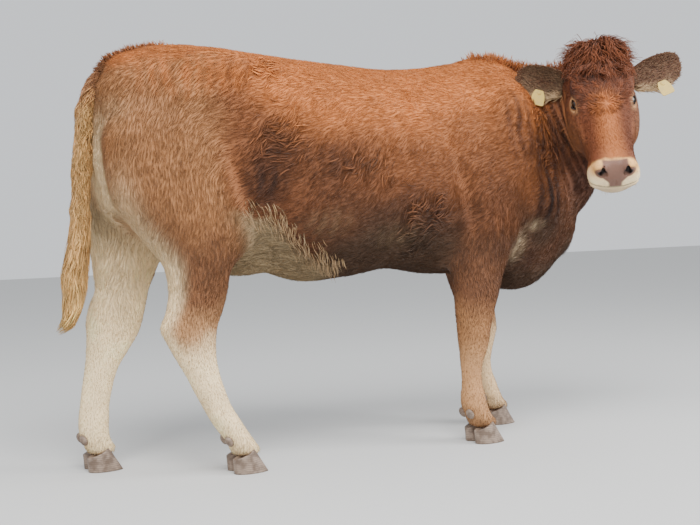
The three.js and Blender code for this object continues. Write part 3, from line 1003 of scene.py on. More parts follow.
@dataclass
class SkinMesher:
    """Turns a distance into one closed mesh that is finer where the form needs it."""

    distance: Callable[[Array], Array]
    low: Array
    high: Array
    cell: float = 13.0
    band: float = 34.0

    def lattice(self) -> tuple[Array, Array]:
        """The distance on a lattice, worked out only near the surface.

        Returns:
            The lattice's values, and its axes' coordinates as one array of offsets.
        """
        counts = np.ceil((self.high - self.low) / self.cell).astype(int) + 1
        counts = (counts + 2) // 3 * 3
        coarse = counts // 3
        grid = np.stack(np.meshgrid(*[np.arange(n) for n in coarse], indexing="ij"), axis=-1).reshape(-1, 3)
        centres = self.low + (grid * 3 + 1) * self.cell
        rough = self.distance(centres)
        values = np.repeat(np.repeat(np.repeat(rough.reshape(coarse), 3, 0), 3, 1), 3, 2)
        near = grid[np.abs(rough) < self.band + 1.8 * self.cell]
        inner = np.stack(np.meshgrid(*[np.arange(3)] * 3, indexing="ij"), axis=-1).reshape(-1, 3)
        fine = (near[:, None, :] * 3 + inner[None, :, :]).reshape(-1, 3)
        values[tuple(fine.T)] = self.distance(self.low + fine * self.cell)
        return values, counts

    def nets(self) -> tuple[Array, Array]:
        """A closed mesh of quads round the surface.

        Returns:
            Vertices, and faces of four.
        """
        v, counts = self.lattice()
        inside = v < 0
        total = sum(
            inside[i : counts[0] - 1 + i, j : counts[1] - 1 + j, k : counts[2] - 1 + k].astype(int)
            for i, j, k in np.ndindex(2, 2, 2)
        )
        cells = np.argwhere((total > 0) & (total < 8))
        index = np.full(total.shape, -1)
        index[tuple(cells.T)] = np.arange(len(cells))
        sums = np.zeros((len(cells), 3))
        hits = np.zeros(len(cells))
        corners = list(np.ndindex(2, 2, 2))
        for a in corners:
            for axis in range(3):
                if a[axis]:
                    continue
                b = tuple(c + (1 if n == axis else 0) for n, c in enumerate(a))
                va = v[tuple((cells + a).T)]
                vb = v[tuple((cells + b).T)]
                cross = (va < 0) != (vb < 0)
                t = np.where(cross, va / np.where(va == vb, 1.0, va - vb), 0.0)
                place = np.tile(np.array(a, float), (len(cells), 1))
                place[:, axis] = t
                sums += place * cross[:, None]
                hits += cross
        points = self.low + (cells + sums / hits[:, None]) * self.cell
        faces = []
        for axis in range(3):
            other = [n for n in range(3) if n != axis]
            span = [slice(1, -1)] * 3
            span[axis] = slice(0, -1)
            ahead = list(span)
            ahead[axis] = slice(1, None)
            first, second = inside[tuple(span)], inside[tuple(ahead)]
            edge = np.argwhere(first != second)
            edge[:, other] += 1
            start = first[first != second]
            quad = []
            for da, db in ((-1, -1), (0, -1), (0, 0), (-1, 0)):
                cell = edge.copy()
                cell[:, other[0]] += da
                cell[:, other[1]] += db
                quad.append(index[tuple(cell.T)])
            quad = np.stack(quad, axis=1)
            flip = start if axis != 1 else ~start
            faces.append(np.where(flip[:, None], quad, quad[:, ::-1]))
        return points, np.vstack(faces)

    def build(self, target: Callable[[Array], Array], rounds: int = 4) -> tuple[Array, Array]:
        """The finished mesh.

        Args:
            target: the longest edge wanted at each place, in millimetres.
            rounds: how often long edges are split.

        Returns:
            Vertices in millimetres, and triangles.
        """
        points, quads = self.nets()
        points = settle(self.distance, points, 3)
        faces = np.vstack([quads[:, [0, 1, 2]], quads[:, [0, 2, 3]]])
        for _ in range(rounds):
            points, faces = split_long(points, faces, target)
            points = relax(points, faces, 1)
            points = settle(self.distance, points, 1)
        points = relax(points, faces, 2)
        return settle(self.distance, points, 2), faces


def split_long(points: Array, faces: Array, target: Callable[[Array], Array]) -> tuple[Array, Array]:
    """Splits every edge that is longer than the target, and keeps the mesh closed.

    Args:
        points: vertices.
        faces: triangles.
        target: the longest edge wanted at each place.

    Returns:
        The new vertices and triangles.
    """
    edges = np.sort(np.stack([faces, np.roll(faces, -1, axis=1)], axis=2).reshape(-1, 2), axis=1)
    keys, inverse = np.unique(edges[:, 0] * len(points) + edges[:, 1], return_inverse=True)
    ends = np.stack([keys // len(points), keys % len(points)], axis=1)
    middles = points[ends].mean(axis=1)
    long = np.linalg.norm(points[ends[:, 0]] - points[ends[:, 1]], axis=1) > target(middles)
    fresh = np.full(len(keys), -1)
    fresh[long] = len(points) + np.arange(long.sum())
    middle = fresh[inverse.reshape(-1)].reshape(-1, 3)
    made = [faces[(middle >= 0).sum(axis=1) == 0]]
    for turn in range(3):
        f = np.roll(faces, -turn, axis=1)
        m = np.roll(middle, -turn, axis=1)
        cut = m >= 0
        one = cut[:, 0] & ~cut[:, 1] & ~cut[:, 2]
        a, b, c = f[one].T
        made += [np.stack([a, m[one, 0], c], 1), np.stack([m[one, 0], b, c], 1)]
        two = cut[:, 0] & cut[:, 1] & ~cut[:, 2]
        a, b, c = f[two].T
        p, q = m[two, 0], m[two, 1]
        made += [np.stack([a, p, c], 1), np.stack([p, q, c], 1), np.stack([p, b, q], 1)]
    all_cut = (middle >= 0).all(axis=1)
    a, b, c = faces[all_cut].T
    p, q, r = middle[all_cut].T
    made += [np.stack(t, 1) for t in ((a, p, r), (p, b, q), (r, q, c), (p, q, r))]
    return np.vstack([points, middles[long]]), np.vstack(made)


def relax(points: Array, faces: Array, rounds: int) -> Array:
    """Moves each vertex to the middle of its neighbours.

    Args:
        points: vertices.
        faces: triangles.
        rounds: how often they are moved.

    Returns:
        The moved vertices.
    """
    for _ in range(rounds):
        sums = np.zeros_like(points)
        count = np.zeros(len(points))
        for a, b in ((0, 1), (1, 2), (2, 0)):
            for n in range(3):
                sums[:, n] += np.bincount(faces[:, a], points[faces[:, b], n], len(points))
                sums[:, n] += np.bincount(faces[:, b], points[faces[:, a], n], len(points))
            count += np.bincount(faces[:, a], minlength=len(points))
            count += np.bincount(faces[:, b], minlength=len(points))
        points = 0.4 * points + 0.6 * sums / np.maximum(count, 1)[:, None]
    return points


def vertex_normals(points: Array, faces: Array) -> Array:
    """Unit normals at the vertices of triangles.

    Args:
        points: vertices.
        faces: triangles.

    Returns:
        One unit vector for each vertex.
    """
    a, b, c = (points[faces[:, n]] for n in range(3))
    flat = np.cross(b - a, c - a)
    out = np.zeros_like(points)
    for n in range(3):
        for corner in range(3):
            out[:, n] += np.bincount(faces[:, corner], flat[:, n], len(points))
    return unit(out)


def skin_target(points: Array) -> Array:
    """The longest edge wanted on the skin at each place, in millimetres.

    Args:
        points: places, in millimetres.

    Returns:
        One length for each place.
    """
    at_head = HEAD.enter(points)
    out = np.full(len(points), 19.0)
    out = np.where(points[:, 2] < 480.0, 14.0, out)
    folds = mound(points, (800, -150, 1000), (170, 190, 330)) > 0
    out = np.where(folds, 11.0, out)
    head = (at_head[:, 0] > -190.0) & (np.linalg.norm(at_head - (60, 0, -30), axis=1) < 330.0)
    out = np.where(head, 9.0, out)
    muzzle = (at_head[:, 0] > 225.0) & (np.abs(at_head[:, 1]) < 100.0)
    out = np.where(muzzle & (np.abs(at_head[:, 2] + 50) < 90), 5.0, out)
    for side in Side:
        near = np.linalg.norm(at_head - EYE.axes(side)[0], axis=1)
        out = np.where(near < 42.0, 3.4, out)
        nostril = np.linalg.norm(at_head - (308, side.value * 40, -34), axis=1)
        out = np.where(nostril < 32.0, 3.6, out)
    return out


# ---------------------------------------------------------------- finishes


class Socket:
    """A shader socket that takes part in Python arithmetic on values."""

    def __init__(self, tree: bpy.types.NodeTree, source: bpy.types.NodeSocket) -> None:
        """Wraps an output socket of a tree."""
        self.tree = tree
        self.source = source

    def _math(self, operation: str, *values: Any) -> "Socket":
        """A Math node over values and sockets."""
        return node(self.tree, "ShaderNodeMath", {"operation": operation}, *values)

    def __add__(self, other: Any) -> "Socket":
        """Sum."""
        return self._math("ADD", self, other)

    def __sub__(self, other: Any) -> "Socket":
        """Difference."""
        return self._math("SUBTRACT", self, other)

    def __rsub__(self, other: Any) -> "Socket":
        """Difference from a number."""
        return self._math("SUBTRACT", other, self)

    def __mul__(self, other: Any) -> "Socket":
        """Product."""
        return self._math("MULTIPLY", self, other)

    def __truediv__(self, other: Any) -> "Socket":
        """Quotient."""
        return self._math("DIVIDE", self, other)

    def __pow__(self, other: Any) -> "Socket":
        """Power."""
        return self._math("POWER", self, other)

    __radd__ = __add__
    __rmul__ = __mul__

    def between(self, low: float, high: float) -> "Socket":
        """A smooth step from 0 at `low` to 1 at `high`.

        Args:
            low: the value where it starts.
            high: the value where it is full.

        Returns:
            The share, as a socket.
        """
        settings = {"interpolation_type": "SMOOTHSTEP"}
        values = {"Value": self, "From Min": low, "From Max": high}
        return node(self.tree, "ShaderNodeMapRange", settings, **values)


def node(
    tree: bpy.types.NodeTree, kind: str, settings: dict[str, Any] | None = None, *values: Any, **named: Any
) -> Socket:
    """Adds a node.

    Args:
        tree: the node tree.
        kind: the node's type.
        settings: its properties; `stops` sets a colour ramp, `pick` names the output wanted.
        values: values or sockets for its inputs, in order; None leaves one alone.
        named: values or sockets for its inputs, by name.

    Returns:
        The node's output.
    """
    made = tree.nodes.new(kind)
    settings = dict(settings or {})
    pick = settings.pop("pick", 0)
    stops = settings.pop("stops", None)
    for key, value in settings.items():
        setattr(made, key, value)
    if stops:
        ramp = made.color_ramp
        while len(ramp.elements) < len(stops):
            ramp.elements.new(0.5)
        for element, (place, colour) in zip(ramp.elements, stops):
            element.position, element.color = place, (*colour, 1.0)
    inputs = list(enumerate(values)) + [(key.replace("_", " "), value) for key, value in named.items()]
    for key, value in inputs:
        if value is None:
            continue
        if isinstance(value, Socket):
            tree.links.new(value.source, made.inputs[key])
        elif isinstance(value, (tuple, list)) and made.inputs[key].type == "RGBA":
            made.inputs[key].default_value = (*value[:3], 1.0)
        else:
            made.inputs[key].default_value = value
    return Socket(tree, made.outputs[pick])


def mix_colour(tree: bpy.types.NodeTree, share: Any, first: Any, second: Any, blend: str = "MIX") -> Socket:
    """A Mix node on colours: `share` of the second over the first.

    Args:
        tree: the node tree.
        share: how much of the second shows.
        first: the colour below.
        second: the colour above.
        blend: how the two are blended.

    Returns:
        The mixed colour.
    """
    settings = {"data_type": "RGBA", "blend_type": blend, "pick": 2}
    made = node(tree, "ShaderNodeMix", settings)
    mixer = made.source.node
    for index, value in ((0, share), (6, first), (7, second)):
        if isinstance(value, Socket):
            tree.links.new(value.source, mixer.inputs[index])
        elif index == 0:
            mixer.inputs[index].default_value = value
        else:
            mixer.inputs[index].default_value = (*value, 1.0)
    return made


def linear(code: str) -> Array:
    """A screen colour such as "#aa8844" as linear red, green and blue."""
    value = np.array([int(code[i : i + 2], 16) / 255.0 for i in (1, 3, 5)])
    return np.where(value <= 0.04045, value / 12.92, ((value + 0.055) / 1.055) ** 2.4)


def begin(name: str) -> tuple[bpy.types.Material, bpy.types.NodeTree, bpy.types.Node]:
    """A new material with its shader node.

    Args:
        name: the material's name.

    Returns:
        The material, its node tree and its shader.
    """
    material = bpy.data.materials.new(name)
    material.use_nodes = True
    tree = material.node_tree
    return material, tree, tree.nodes["Principled BSDF"]


def put(tree: bpy.types.NodeTree, shader: bpy.types.Node, **values: Any) -> None:
    """Sets or links inputs of a shader by name, with _ for spaces.

    Args:
        tree: the node tree.
        shader: the shader.
        values: values or sockets, by the input's name.
    """
    for key, value in values.items():
        entry = shader.inputs[key.replace("_", " ")]
        if isinstance(value, Socket):
            tree.links.new(value.source, entry)
        elif entry.type == "RGBA":
            entry.default_value = (*value[:3], 1.0)
        else:
            entry.default_value = value


@dataclass(frozen=True)
class HairFinish:
    """Hair that carries the coat's markings, with their painted light and shade, in its own colour attribute.
    """

    name: str
    roughness: float = 0.72
    sheen: float = 0.05

    def make(self) -> bpy.types.Material:
        """Builds the material.

        Returns:
            The material.
        """
        material, tree, shader = begin(self.name)
        colour = node(tree, "ShaderNodeAttribute", {"attribute_name": "coat_colour"})
        place = node(tree, "ShaderNodeTexCoord", {"pick": "Object"})
        fine = node(tree, "ShaderNodeTexNoise", {"pick": "Fac"}, Vector=place, Scale=420.0, Detail=2.0)
        shade = node(tree, "ShaderNodeMapRange", {}, Value=fine, **{"To Min": 0.86, "To Max": 1.14})
        grey = node(tree, "ShaderNodeCombineXYZ", {}, shade, shade, shade)
        put(tree, shader, Base_Color=mix_colour(tree, 1.0, colour, grey, "MULTIPLY"))
        put(tree, shader, Roughness=self.roughness, Specular_IOR_Level=0.28)
        put(tree, shader, Sheen_Weight=self.sheen, Sheen_Roughness=0.45)
        return material


@dataclass(frozen=True)
class SkinFinish:
    """Skin under the coat: the same markings with their painted light and shade, with short flat hair as bump
    and bare damp places.
    """

    name: str
    hair_step: float = 260.0
    hair_depth: float = 0.0016

    def make(self) -> bpy.types.Material:
        """Builds the material.

        Returns:
            The material.
        """
        material, tree, shader = begin(self.name)
        colour = node(tree, "ShaderNodeAttribute", {"attribute_name": "coat_colour"})
        bare = node(tree, "ShaderNodeAttribute", {"attribute_name": "bare_skin", "pick": "Fac"})
        place = node(tree, "ShaderNodeTexCoord", {"pick": "Object"})
        hair = node(
            tree, "ShaderNodeTexNoise", {"pick": "Fac"}, Vector=place, Scale=self.hair_step, Detail=3.0
        )
        pores = node(
            tree, "ShaderNodeTexVoronoi", {"feature": "DISTANCE_TO_EDGE", "pick": "Distance"},
            Vector=place, Scale=240.0,
        )
        shade = node(tree, "ShaderNodeMapRange", {}, Value=hair, **{"To Min": 0.78, "To Max": 1.2})
        grey = node(tree, "ShaderNodeCombineXYZ", {}, shade, shade, shade)
        put(tree, shader, Base_Color=mix_colour(tree, 0.8, colour, grey, "MULTIPLY"))
        put(tree, shader, Roughness=0.72 - 0.36 * bare, Specular_IOR_Level=0.35)
        relief = hair * (1.0 - bare) + pores.between(0.0, 0.16) * bare * 0.5
        put(tree, shader, Normal=node(
            tree, "ShaderNodeBump", {"pick": "Normal"}, Strength=0.6, Distance=self.hair_depth, Height=relief
        ))
        return material


# ---------------------------------------------------------------- stage


@dataclass(frozen=True)
class Viewpoint:
    """The camera: level, a little rolled, with its horizon held above the middle by its shift."""

    place: tuple[float, float, float] = (-1.681, -3.495, 0.77)
    heading: float = 24.0  # degrees from +Y towards +X
    roll: float = 1.8
    lens: float = 61.1
    shift: tuple[float, float] = (0.0021, -0.0679)

    def build(self) -> bpy.types.Object:
        """Makes the camera and hands it to the scene.

        Returns:
            The camera.
        """
        h, r = math.radians(self.heading), math.radians(self.roll)
        ahead = Vector((math.sin(h), math.cos(h), 0.0))
        level = Vector((math.cos(h), -math.sin(h), 0.0))
        right = level * math.cos(r) - Vector((0, 0, 1)) * math.sin(r)
        upward = Vector((0, 0, 1)) * math.cos(r) + level * math.sin(r)
        data = bpy.data.cameras.new("camera")
        data.lens, data.sensor_width = self.lens, 36.0
        data.shift_x, data.shift_y = self.shift
        data.clip_start, data.clip_end = 0.05, 60.0
        camera = bpy.data.objects.new("camera", data)
        turn = Matrix((right, upward, -ahead)).transposed()
        camera.matrix_world = Matrix.Translation(self.place) @ turn.to_4x4()
        bpy.context.scene.collection.objects.link(camera)
        bpy.context.scene.camera = camera
        return camera


@dataclass(frozen=True)
class Studio:
    """A plain pale floor, an even sky and large soft lights."""

    sky: float = 0.95
    key: float = 405.0
    fill: float = 205.0
    floor: float = 28.0  # length of the floor's sides

    def light(
        self, name: str, place: Sequence[float], aim: Sequence[float], size: float, power: float
    ) -> None:
        """One soft square light that points at a place.

        Args:
            name: the light's name.
            place: where it stands.
            aim: the place it points at.
            size: length of its sides.
            power: its strength, in watts.
        """
        data = bpy.data.lights.new(name, "AREA")
        data.shape, data.size, data.energy = "SQUARE", size, power
        lamp = bpy.data.objects.new(name, data)
        lamp.location = place
        lamp.rotation_euler = (Vector(aim) - Vector(place)).to_track_quat("-Z", "Y").to_euler()
        bpy.context.scene.collection.objects.link(lamp)

    def build(self) -> None:
        """Makes the floor, the sky and the lights."""
        half = self.floor / 2
        corners = [(-half, -half, 0), (half, -half, 0), (half, half, 0), (-half, half, 0)]
        mesh = bpy.data.meshes.new("floor")
        mesh.from_pydata(corners, [], [(0, 1, 2, 3)])
        floor = bpy.data.objects.new("floor", mesh)
        material, tree, shader = begin("floor pale")
        put(tree, shader, Base_Color=(0.60, 0.60, 0.59), Roughness=0.95, Specular_IOR_Level=0.1)
        mesh.materials.append(material)
        bpy.context.scene.collection.objects.link(floor)
        floor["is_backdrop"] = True
        world = bpy.data.worlds.new("sky")
        world.use_nodes = True
        back = world.node_tree.nodes["Background"]
        back.inputs["Color"].default_value = (0.93, 0.96, 1.0, 1.0)
        back.inputs["Strength"].default_value = self.sky
        bpy.context.scene.world = world
        self.light("key", (-1.6, -3.0, 4.6), (0.0, 0.0, 0.9), 3.2, self.key)
        self.light("fill", (3.6, -2.6, 2.4), (0.4, 0.0, 0.9), 2.6, self.fill)


# ---------------------------------------------------------------- pieces


def make_mesh(name: str, points: Array, faces: Array, smooth: bool = True) -> bpy.types.Mesh:
    """A Blender mesh from arrays.

    Args:
        name: the mesh's name.
        points: vertices, in metres.
        faces: faces of one size.
        smooth: whether it is shaded smooth.

    Returns:
        The mesh.
    """
    mesh = bpy.data.meshes.new(name)
    count, corners = faces.shape
    mesh.vertices.add(len(points))
    mesh.vertices.foreach_set("co", np.ascontiguousarray(points, np.float32).ravel())
    mesh.loops.add(count * corners)
    mesh.loops.foreach_set("vertex_index", np.ascontiguousarray(faces, np.int32).ravel())
    mesh.polygons.add(count)
    mesh.polygons.foreach_set("loop_start", np.arange(count, dtype=np.int32) * corners)
    mesh.polygons.foreach_set("use_smooth", np.full(count, smooth))
    mesh.update(calc_edges=True)
    mesh.validate()
    return mesh


def set_colour(mesh: bpy.types.Mesh, colours: Array, name: str = "coat_colour") -> None:
    """Stores one linear colour for each vertex.

    Args:
        mesh: the mesh.
        colours: linear red, green and blue of each vertex.
        name: the attribute's name.
    """
    layer = mesh.attributes.new(name, "FLOAT_COLOR", "POINT")
    opaque = np.column_stack([colours, np.ones(len(colours))])
    layer.data.foreach_set("color", opaque.astype(np.float32).ravel())


def set_value(mesh: bpy.types.Mesh, values: Array, name: str) -> None:
    """Stores one number for each vertex."""
    layer = mesh.attributes.new(name, "FLOAT", "POINT")
    layer.data.foreach_set("value", np.asarray(values, np.float32))


def set_vector(mesh: bpy.types.Mesh, vectors: Array, name: str) -> None:
    """Stores one vector for each vertex."""
    layer = mesh.attributes.new(name, "FLOAT_VECTOR", "POINT")
    layer.data.foreach_set("vector", np.asarray(vectors, np.float32).ravel())


def show(
    name: str, mesh: bpy.types.Mesh, material: bpy.types.Material, slot: str, *nodes: str
) -> bpy.types.Object:
    """Puts a finished mesh in the scene as a piece.

    Args:
        name: the piece's name.
        mesh: its mesh, in the frame.
        material: its finish.
        slot: the name of a material slot; not used.
        nodes: the CAD nodes that it stands for.

    Returns:
        The piece.
    """
    piece = bpy.data.objects.new(name, mesh)
    mesh.materials.append(material)
    bpy.context.scene.collection.objects.link(piece)
    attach(piece, BODY)
    if nodes:
        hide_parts(*nodes)
    LOG.info("%s: %d faces", name, len(mesh.polygons))
    return piece


# ---------------------------------------------------------------- markings, painted light and shade, and the lie of the coat


@dataclass(frozen=True)
class Patch:
    """A patch on the near side, laid as painted shade where dark and as painted top light where golden: its
    middle, how far it reaches, and its strength.
    """

    colour: str
    along: float
    height: float
    long: float
    tall: float
    most: float

    def share(self, points: Array) -> Array:
        """How strongly the patch shows at each point.

        Args:
            points: places, in millimetres.

        Returns:
            One share for each point.
        """
        flat = points * (1.0, 0.0, 1.0)
        spread = mound(flat, (self.along, 0.0, self.height), (self.long, 1.0, self.tall)) ** 0.7
        return self.most * spread * step(-30.0, -90.0, points[:, 1])


# The dark, deep_shade and umber patches are painted shade of the neck's folds, the throat, the flank's
# hollow, the ribs, the shoulder, brisket and dewlap; the golden ones are painted top light on croup and loin.
PATCHES = (
    Patch("gold_and_top_light", -600, 1220, 230, 110, 0.75),  # croup
    Patch("gold_and_top_light", -440, 1210, 170, 80, 0.7),  # loin
    Patch("dark", 560, 1010, 100, 180, 0.5),  # side of the neck
    Patch("dark", 670, 900, 105, 250, 0.8),  # folds of the turned neck
    Patch("dark", 530, 1090, 90, 130, 0.55),  # before the shoulder
    Patch("dark", 740, 1010, 70, 150, 0.65),  # behind the jaw
    Patch("deep_shade", 660, 800, 80, 120, 0.8),  # depth of the throat's fold
    Patch("deep_shade", -370, 880, 90, 90, 0.7),  # hollow of the flank
    Patch("deep_shade", -190, 940, 105, 90, 0.4),  # last ribs
    Patch("dark", 420, 880, 110, 110, 0.3),  # behind the shoulder
    Patch("dark", 430, 700, 115, 125, 0.4),  # upper arm
    Patch("dark", 620, 600, 70, 60, 0.5),  # brisket
    Patch("umber", 740, 650, 90, 110, 0.5),  # dewlap
    Patch("inner", -180, 750, 110, 60, 0.2),  # low flank
    Patch("inner", 70, 700, 130, 60, 0.15),  # low ribs
    Patch("chin", 550, 650, 50, 70, 0.6),  # pale hair of the brisket
    Patch("chin", 610, 720, 50, 30, 0.5),  # pale streak above it
)


# Painted shade in the hollows of the sides: a middle, its reach, and how much stays where the hair parts.
SHADOWS = (
    ((-335, 0, 1000), (190, 420, 190), 0.55),  # before the hip
    ((-375, 0, 880), (130, 420, 170), 1.0),  # hollow of the flank
    ((-150, 0, 930), (270, 420, 170), 0.55),  # last ribs
    ((110, 0, 810), (220, 420, 150), 0.3),  # low ribs
    ((235, 0, 720), (130, 420, 230), 0.7),  # behind the elbow
)
# Where the coat is wavy: a middle and its reach.
WAVY = (
    ((-310, 0, 1000), (230, 420, 230)),  # flank
    ((-60, 0, 920), (280, 420, 190)),  # ribs
    ((160, 0, 790), (230, 420, 240)),  # low ribs and elbow
    ((640, 0, 1000), (180, 300, 260)),  # shoulder
    ((-380, 0, 1190), (260, 300, 120)),  # loin
)


@dataclass
class MarkingsAndPaintedLight:
    """The coat's colours by place, painted top light and painted shade included, for skin and hair alike."""

    body: Body
    broad: Noise = field(default_factory=lambda: Noise(21))
    fine: Noise = field(default_factory=lambda: Noise(22))

    # The golden back's colour, laid on high and upward faces as painted top light.
    gold_and_top_light: str = "#bc7038"
    side: str = "#86502b"
    # umber and dark: brown tones laid mostly as painted shade in folds, hollows and low places; umber also
    # darkens the knee and the feet.
    umber: str = "#5b3620"
    dark: str = "#3b1d0e"
    # The darkest brown, laid only as painted shade in the deepest folds and hollows.
    deep_shade: str = "#231109"
    rump: str = "#9c6a41"
    cream: str = "#ffe4b4"
    inner: str = "#958060"
    # Painted shade of the underside, over its darker brown.
    belly_shade: str = "#4c3524"
    neck_red: str = "#60351e"
    tan: str = "#9f6f46"
    shank: str = "#bb8b5e"
    upper_leg: str = "#71482d"
    face: str = "#703d23"
    bridge: str = "#b86d38"
    cheek: str = "#945e38"
    ring: str = "#eeb570"
    pad: str = "#7a5849"
    chin: str = "#cdb592"
    mouth_at: float = -84.0

    def over(self, base: Array, code: str, share: Array) -> Array:
        """Lays a colour over the base by a share of it at each point."""
        return base + (linear(code) - base) * np.clip(share, 0.0, 1.0)[:, None]

    def coats(self, ground: str, points: Array, *coats: tuple[str, Array]) -> Array:
        """A ground colour with others laid over it in turn.

        Args:
            ground: the colour below.
            points: places that are coloured.
            coats: a colour and its share at each point, for each one laid over.

        Returns:
            Linear red, green and blue at each point.
        """
        out = np.tile(linear(ground), (len(points), 1))
        for code, share in coats:
            out = self.over(out, code, share)
        return out

    def trunk(self, points: Array, normals: Array) -> Array:
        """Colours of the trunk.

        Args:
            points: places, in millimetres.
            normals: the skin's normals there.

        Returns:
            Linear red, green and blue.
        """
        x, y, z = points.T
        up = normals[:, 2]
        wander = self.broad.at(points, 120.0)
        speck = self.fine.at(points, 42.0)
        high = z + 55.0 * wander
        base = self.coats(
            self.side, points,
            # Golden on the high rear and on upward faces: painted top light over the golden back.
            (self.gold_and_top_light, step(960.0, 1150.0, high) * step(-460.0, -330.0, x)),
            (self.gold_and_top_light, 0.9 * step(0.25, 0.85, up + 0.15 * wander)),
            # Umber low on the side: painted shade of the lower body.
            (self.umber, 0.8 * step(920.0, 720.0, high) * step(-470.0, -330.0, x)),
            (self.rump, 0.95 * step(-450.0, -560.0, x + 40 * wander) * step(0.9, 0.5, up)),
        )
        # Painted shade in the hollows, a little weaker on the far side.
        right = np.where(y < 0, 1.0, 0.85)
        for middle, reach, least in SHADOWS:
            parted = least + (1 - least) * step(-0.45, 0.4, speck)
            share = mound(points, middle, reach) ** 0.6 * parted
            base = self.over(base, self.dark, 0.92 * share * right)
        # Painted shade of the underside and the low body.
        under = np.maximum(step(0.0, -0.62, up + 0.1 * wander), 0.8 * step(660.0, 590.0, high))
        base = self.over(base, self.belly_shade, under * step(-250.0, -120.0, x))
        fold = self.fold_line(x) + 14.0 * speck
        pale = step(fold + 16.0, fold - 12.0, z) * step(-560.0, -500.0, x) * step(-70.0, -150.0, x)
        base = self.over(base, self.inner, pale)
        dock = bump(y, 0.0, 75.0) * step(-590.0, -730.0, x) * step(1120.0, 1200.0, z)
        base = self.over(base, self.neck_red, 0.8 * dock)
        rear = step(-0.25, -0.75, normals[:, 0]) * step(1180.0, 960.0, z) * step(-500.0, -600.0, x)
        return self.over(base, self.cream, 0.75 * rear)

    def fold_line(self, x: Array) -> Array:
        """Height of the flank's fold, below which the pale inner skin shows."""
        return 785.0 - 0.59 * np.clip(x + 450.0, 0.0, 320.0) + 34.0 * bump(x, -340.0, 90.0)

    def neck(self, points: Array, normals: Array) -> Array:
        """Colours of the neck.

        Args:
            points: places, in millimetres.
            normals: the skin's normals there.

        Returns:
            Linear red, green and blue.
        """
        x, _, z = points.T
        up = normals[:, 2]
        close = step(190.0, 300.0, self.body.neck.place(points)) * step(0.75, 0.35, up)
        return self.coats(
            self.neck_red, points,
            # Golden on upward faces and high on the neck: painted top light.
            (self.gold_and_top_light, 0.75 * step(0.1, 0.75, up)),
            (self.gold_and_top_light, 0.45 * step(690.0, 560.0, x) * step(850.0, 1000.0, z)),
            # Dark in the folds near the head, and umber and dark low on the neck: painted shade.
            (self.dark, 0.6 * close * step(-0.6, 0.3, self.fine.at(points, 42.0))),
            (self.umber, 0.7 * step(900.0, 760.0, z)),
            (self.dark, 0.25 * step(780.0, 640.0, z)),
            (self.dark, 0.35 * step(0.0, 0.5, self.fine.at(points, 50.0))),
        )

    def leg(self, points: Array, normals: Array, leg: Leg) -> Array:
        """Colours of one leg.

        Args:
            points: places, in millimetres.
            normals: the skin's normals there.
            leg: which leg.

        Returns:
            Linear red, green and blue.
        """
        z = points[:, 2]
        foot_x, foot_y = FEET[leg]
        inward = -np.sign(foot_y) * normals[:, 1]
        ahead = normals[:, 0]
        wandering = z + 30.0 * self.fine.at(points, 60.0)
        if leg in (Leg.HIND_RIGHT, Leg.HIND_LEFT):
            return self.coats(
                self.rump, points,
                (self.upper_leg, 0.75 * step(800.0, 640.0, wandering)),
                (self.shank, 0.8 * step(560.0, 450.0, wandering)),
                (self.cream, 0.9 * step(470.0, 330.0, wandering)),
                (self.cream, 0.8 * step(0.2, 0.8, -ahead) * step(1000.0, 620.0, z)),
                (self.cream, 0.9 * step(0.1, 0.6, inward) * step(860.0, 640.0, z)),
                (self.inner, 0.8 * step(0.1, 0.6, inward) * step(620.0, 800.0, z)),
            )
        return self.coats(
            self.side, points,
            (self.upper_leg, step(800.0, 640.0, wandering)),
            (self.tan, 0.95 * step(520.0, 400.0, wandering)),
            (self.shank, 0.9 * step(370.0, 280.0, z)),
            (self.umber, 0.5 * mound(points, (foot_x + 40, foot_y, 385), (60, 80, 70))),  # knee
            (self.cream, 0.5 * step(0.2, 0.8, inward) * step(400.0, 330.0, z)),
            # Painted shade on the inner and rear face of the upper foreleg, under the body.
            (self.belly_shade, 0.9 * step(-0.1, 0.5, inward - 0.4 * ahead) * step(520.0, 620.0, z)),
            (self.umber, 0.3 * step(115.0, 60.0, z)),
        )

    def head(self, at_head: Array) -> Array:
        """Colours of the head, in its own frame.

        Args:
            at_head: places in the head's frame.

        Returns:
            Linear red, green and blue.
        """
        x, y, z = at_head.T
        bridge = bump(y, 0.0, 58.0)
        muzzle = step(250.0, 268.0, x - 0.35 * (z + 40.0) + 5.0 * self.fine.at(at_head, 9.0))
        base = self.coats(
            self.face, at_head,
            (self.bridge, 0.75 * bridge * step(-10.0, 60.0, x) * step(-40.0, 10.0, z)),
            (self.cheek, 0.8 * step(10.0, -60.0, z) * step(60.0, 100.0, np.abs(y))),
            (self.dark, 0.4 * mound(at_head, (-60, 0, 60), (70, 90, 60))),
            (self.ring, muzzle),
            (self.cream, muzzle * step(-20.0, -60.0, z)),
            (self.chin, step(-80.0, -96.0, z) * step(170.0, 235.0, x)),
        )
        for side in Side:
            e = EYE.enter(at_head, side)
            around = np.hypot(e[:, 0] * 0.8, e[:, 1])
            base = self.over(base, self.shank, 0.9 * bump(around, 19.0, 15.0) * step(-4.0, 6.0, e[:, 2]))
            tear = bump(e[:, 1] + 14.0 + 0.3 * e[:, 0], 0.0, 9.0) * bump(e[:, 0], -30.0, 26.0)
            base = self.over(base, self.shank, 0.45 * tear * step(-10.0, 0.0, e[:, 2]))
        return base

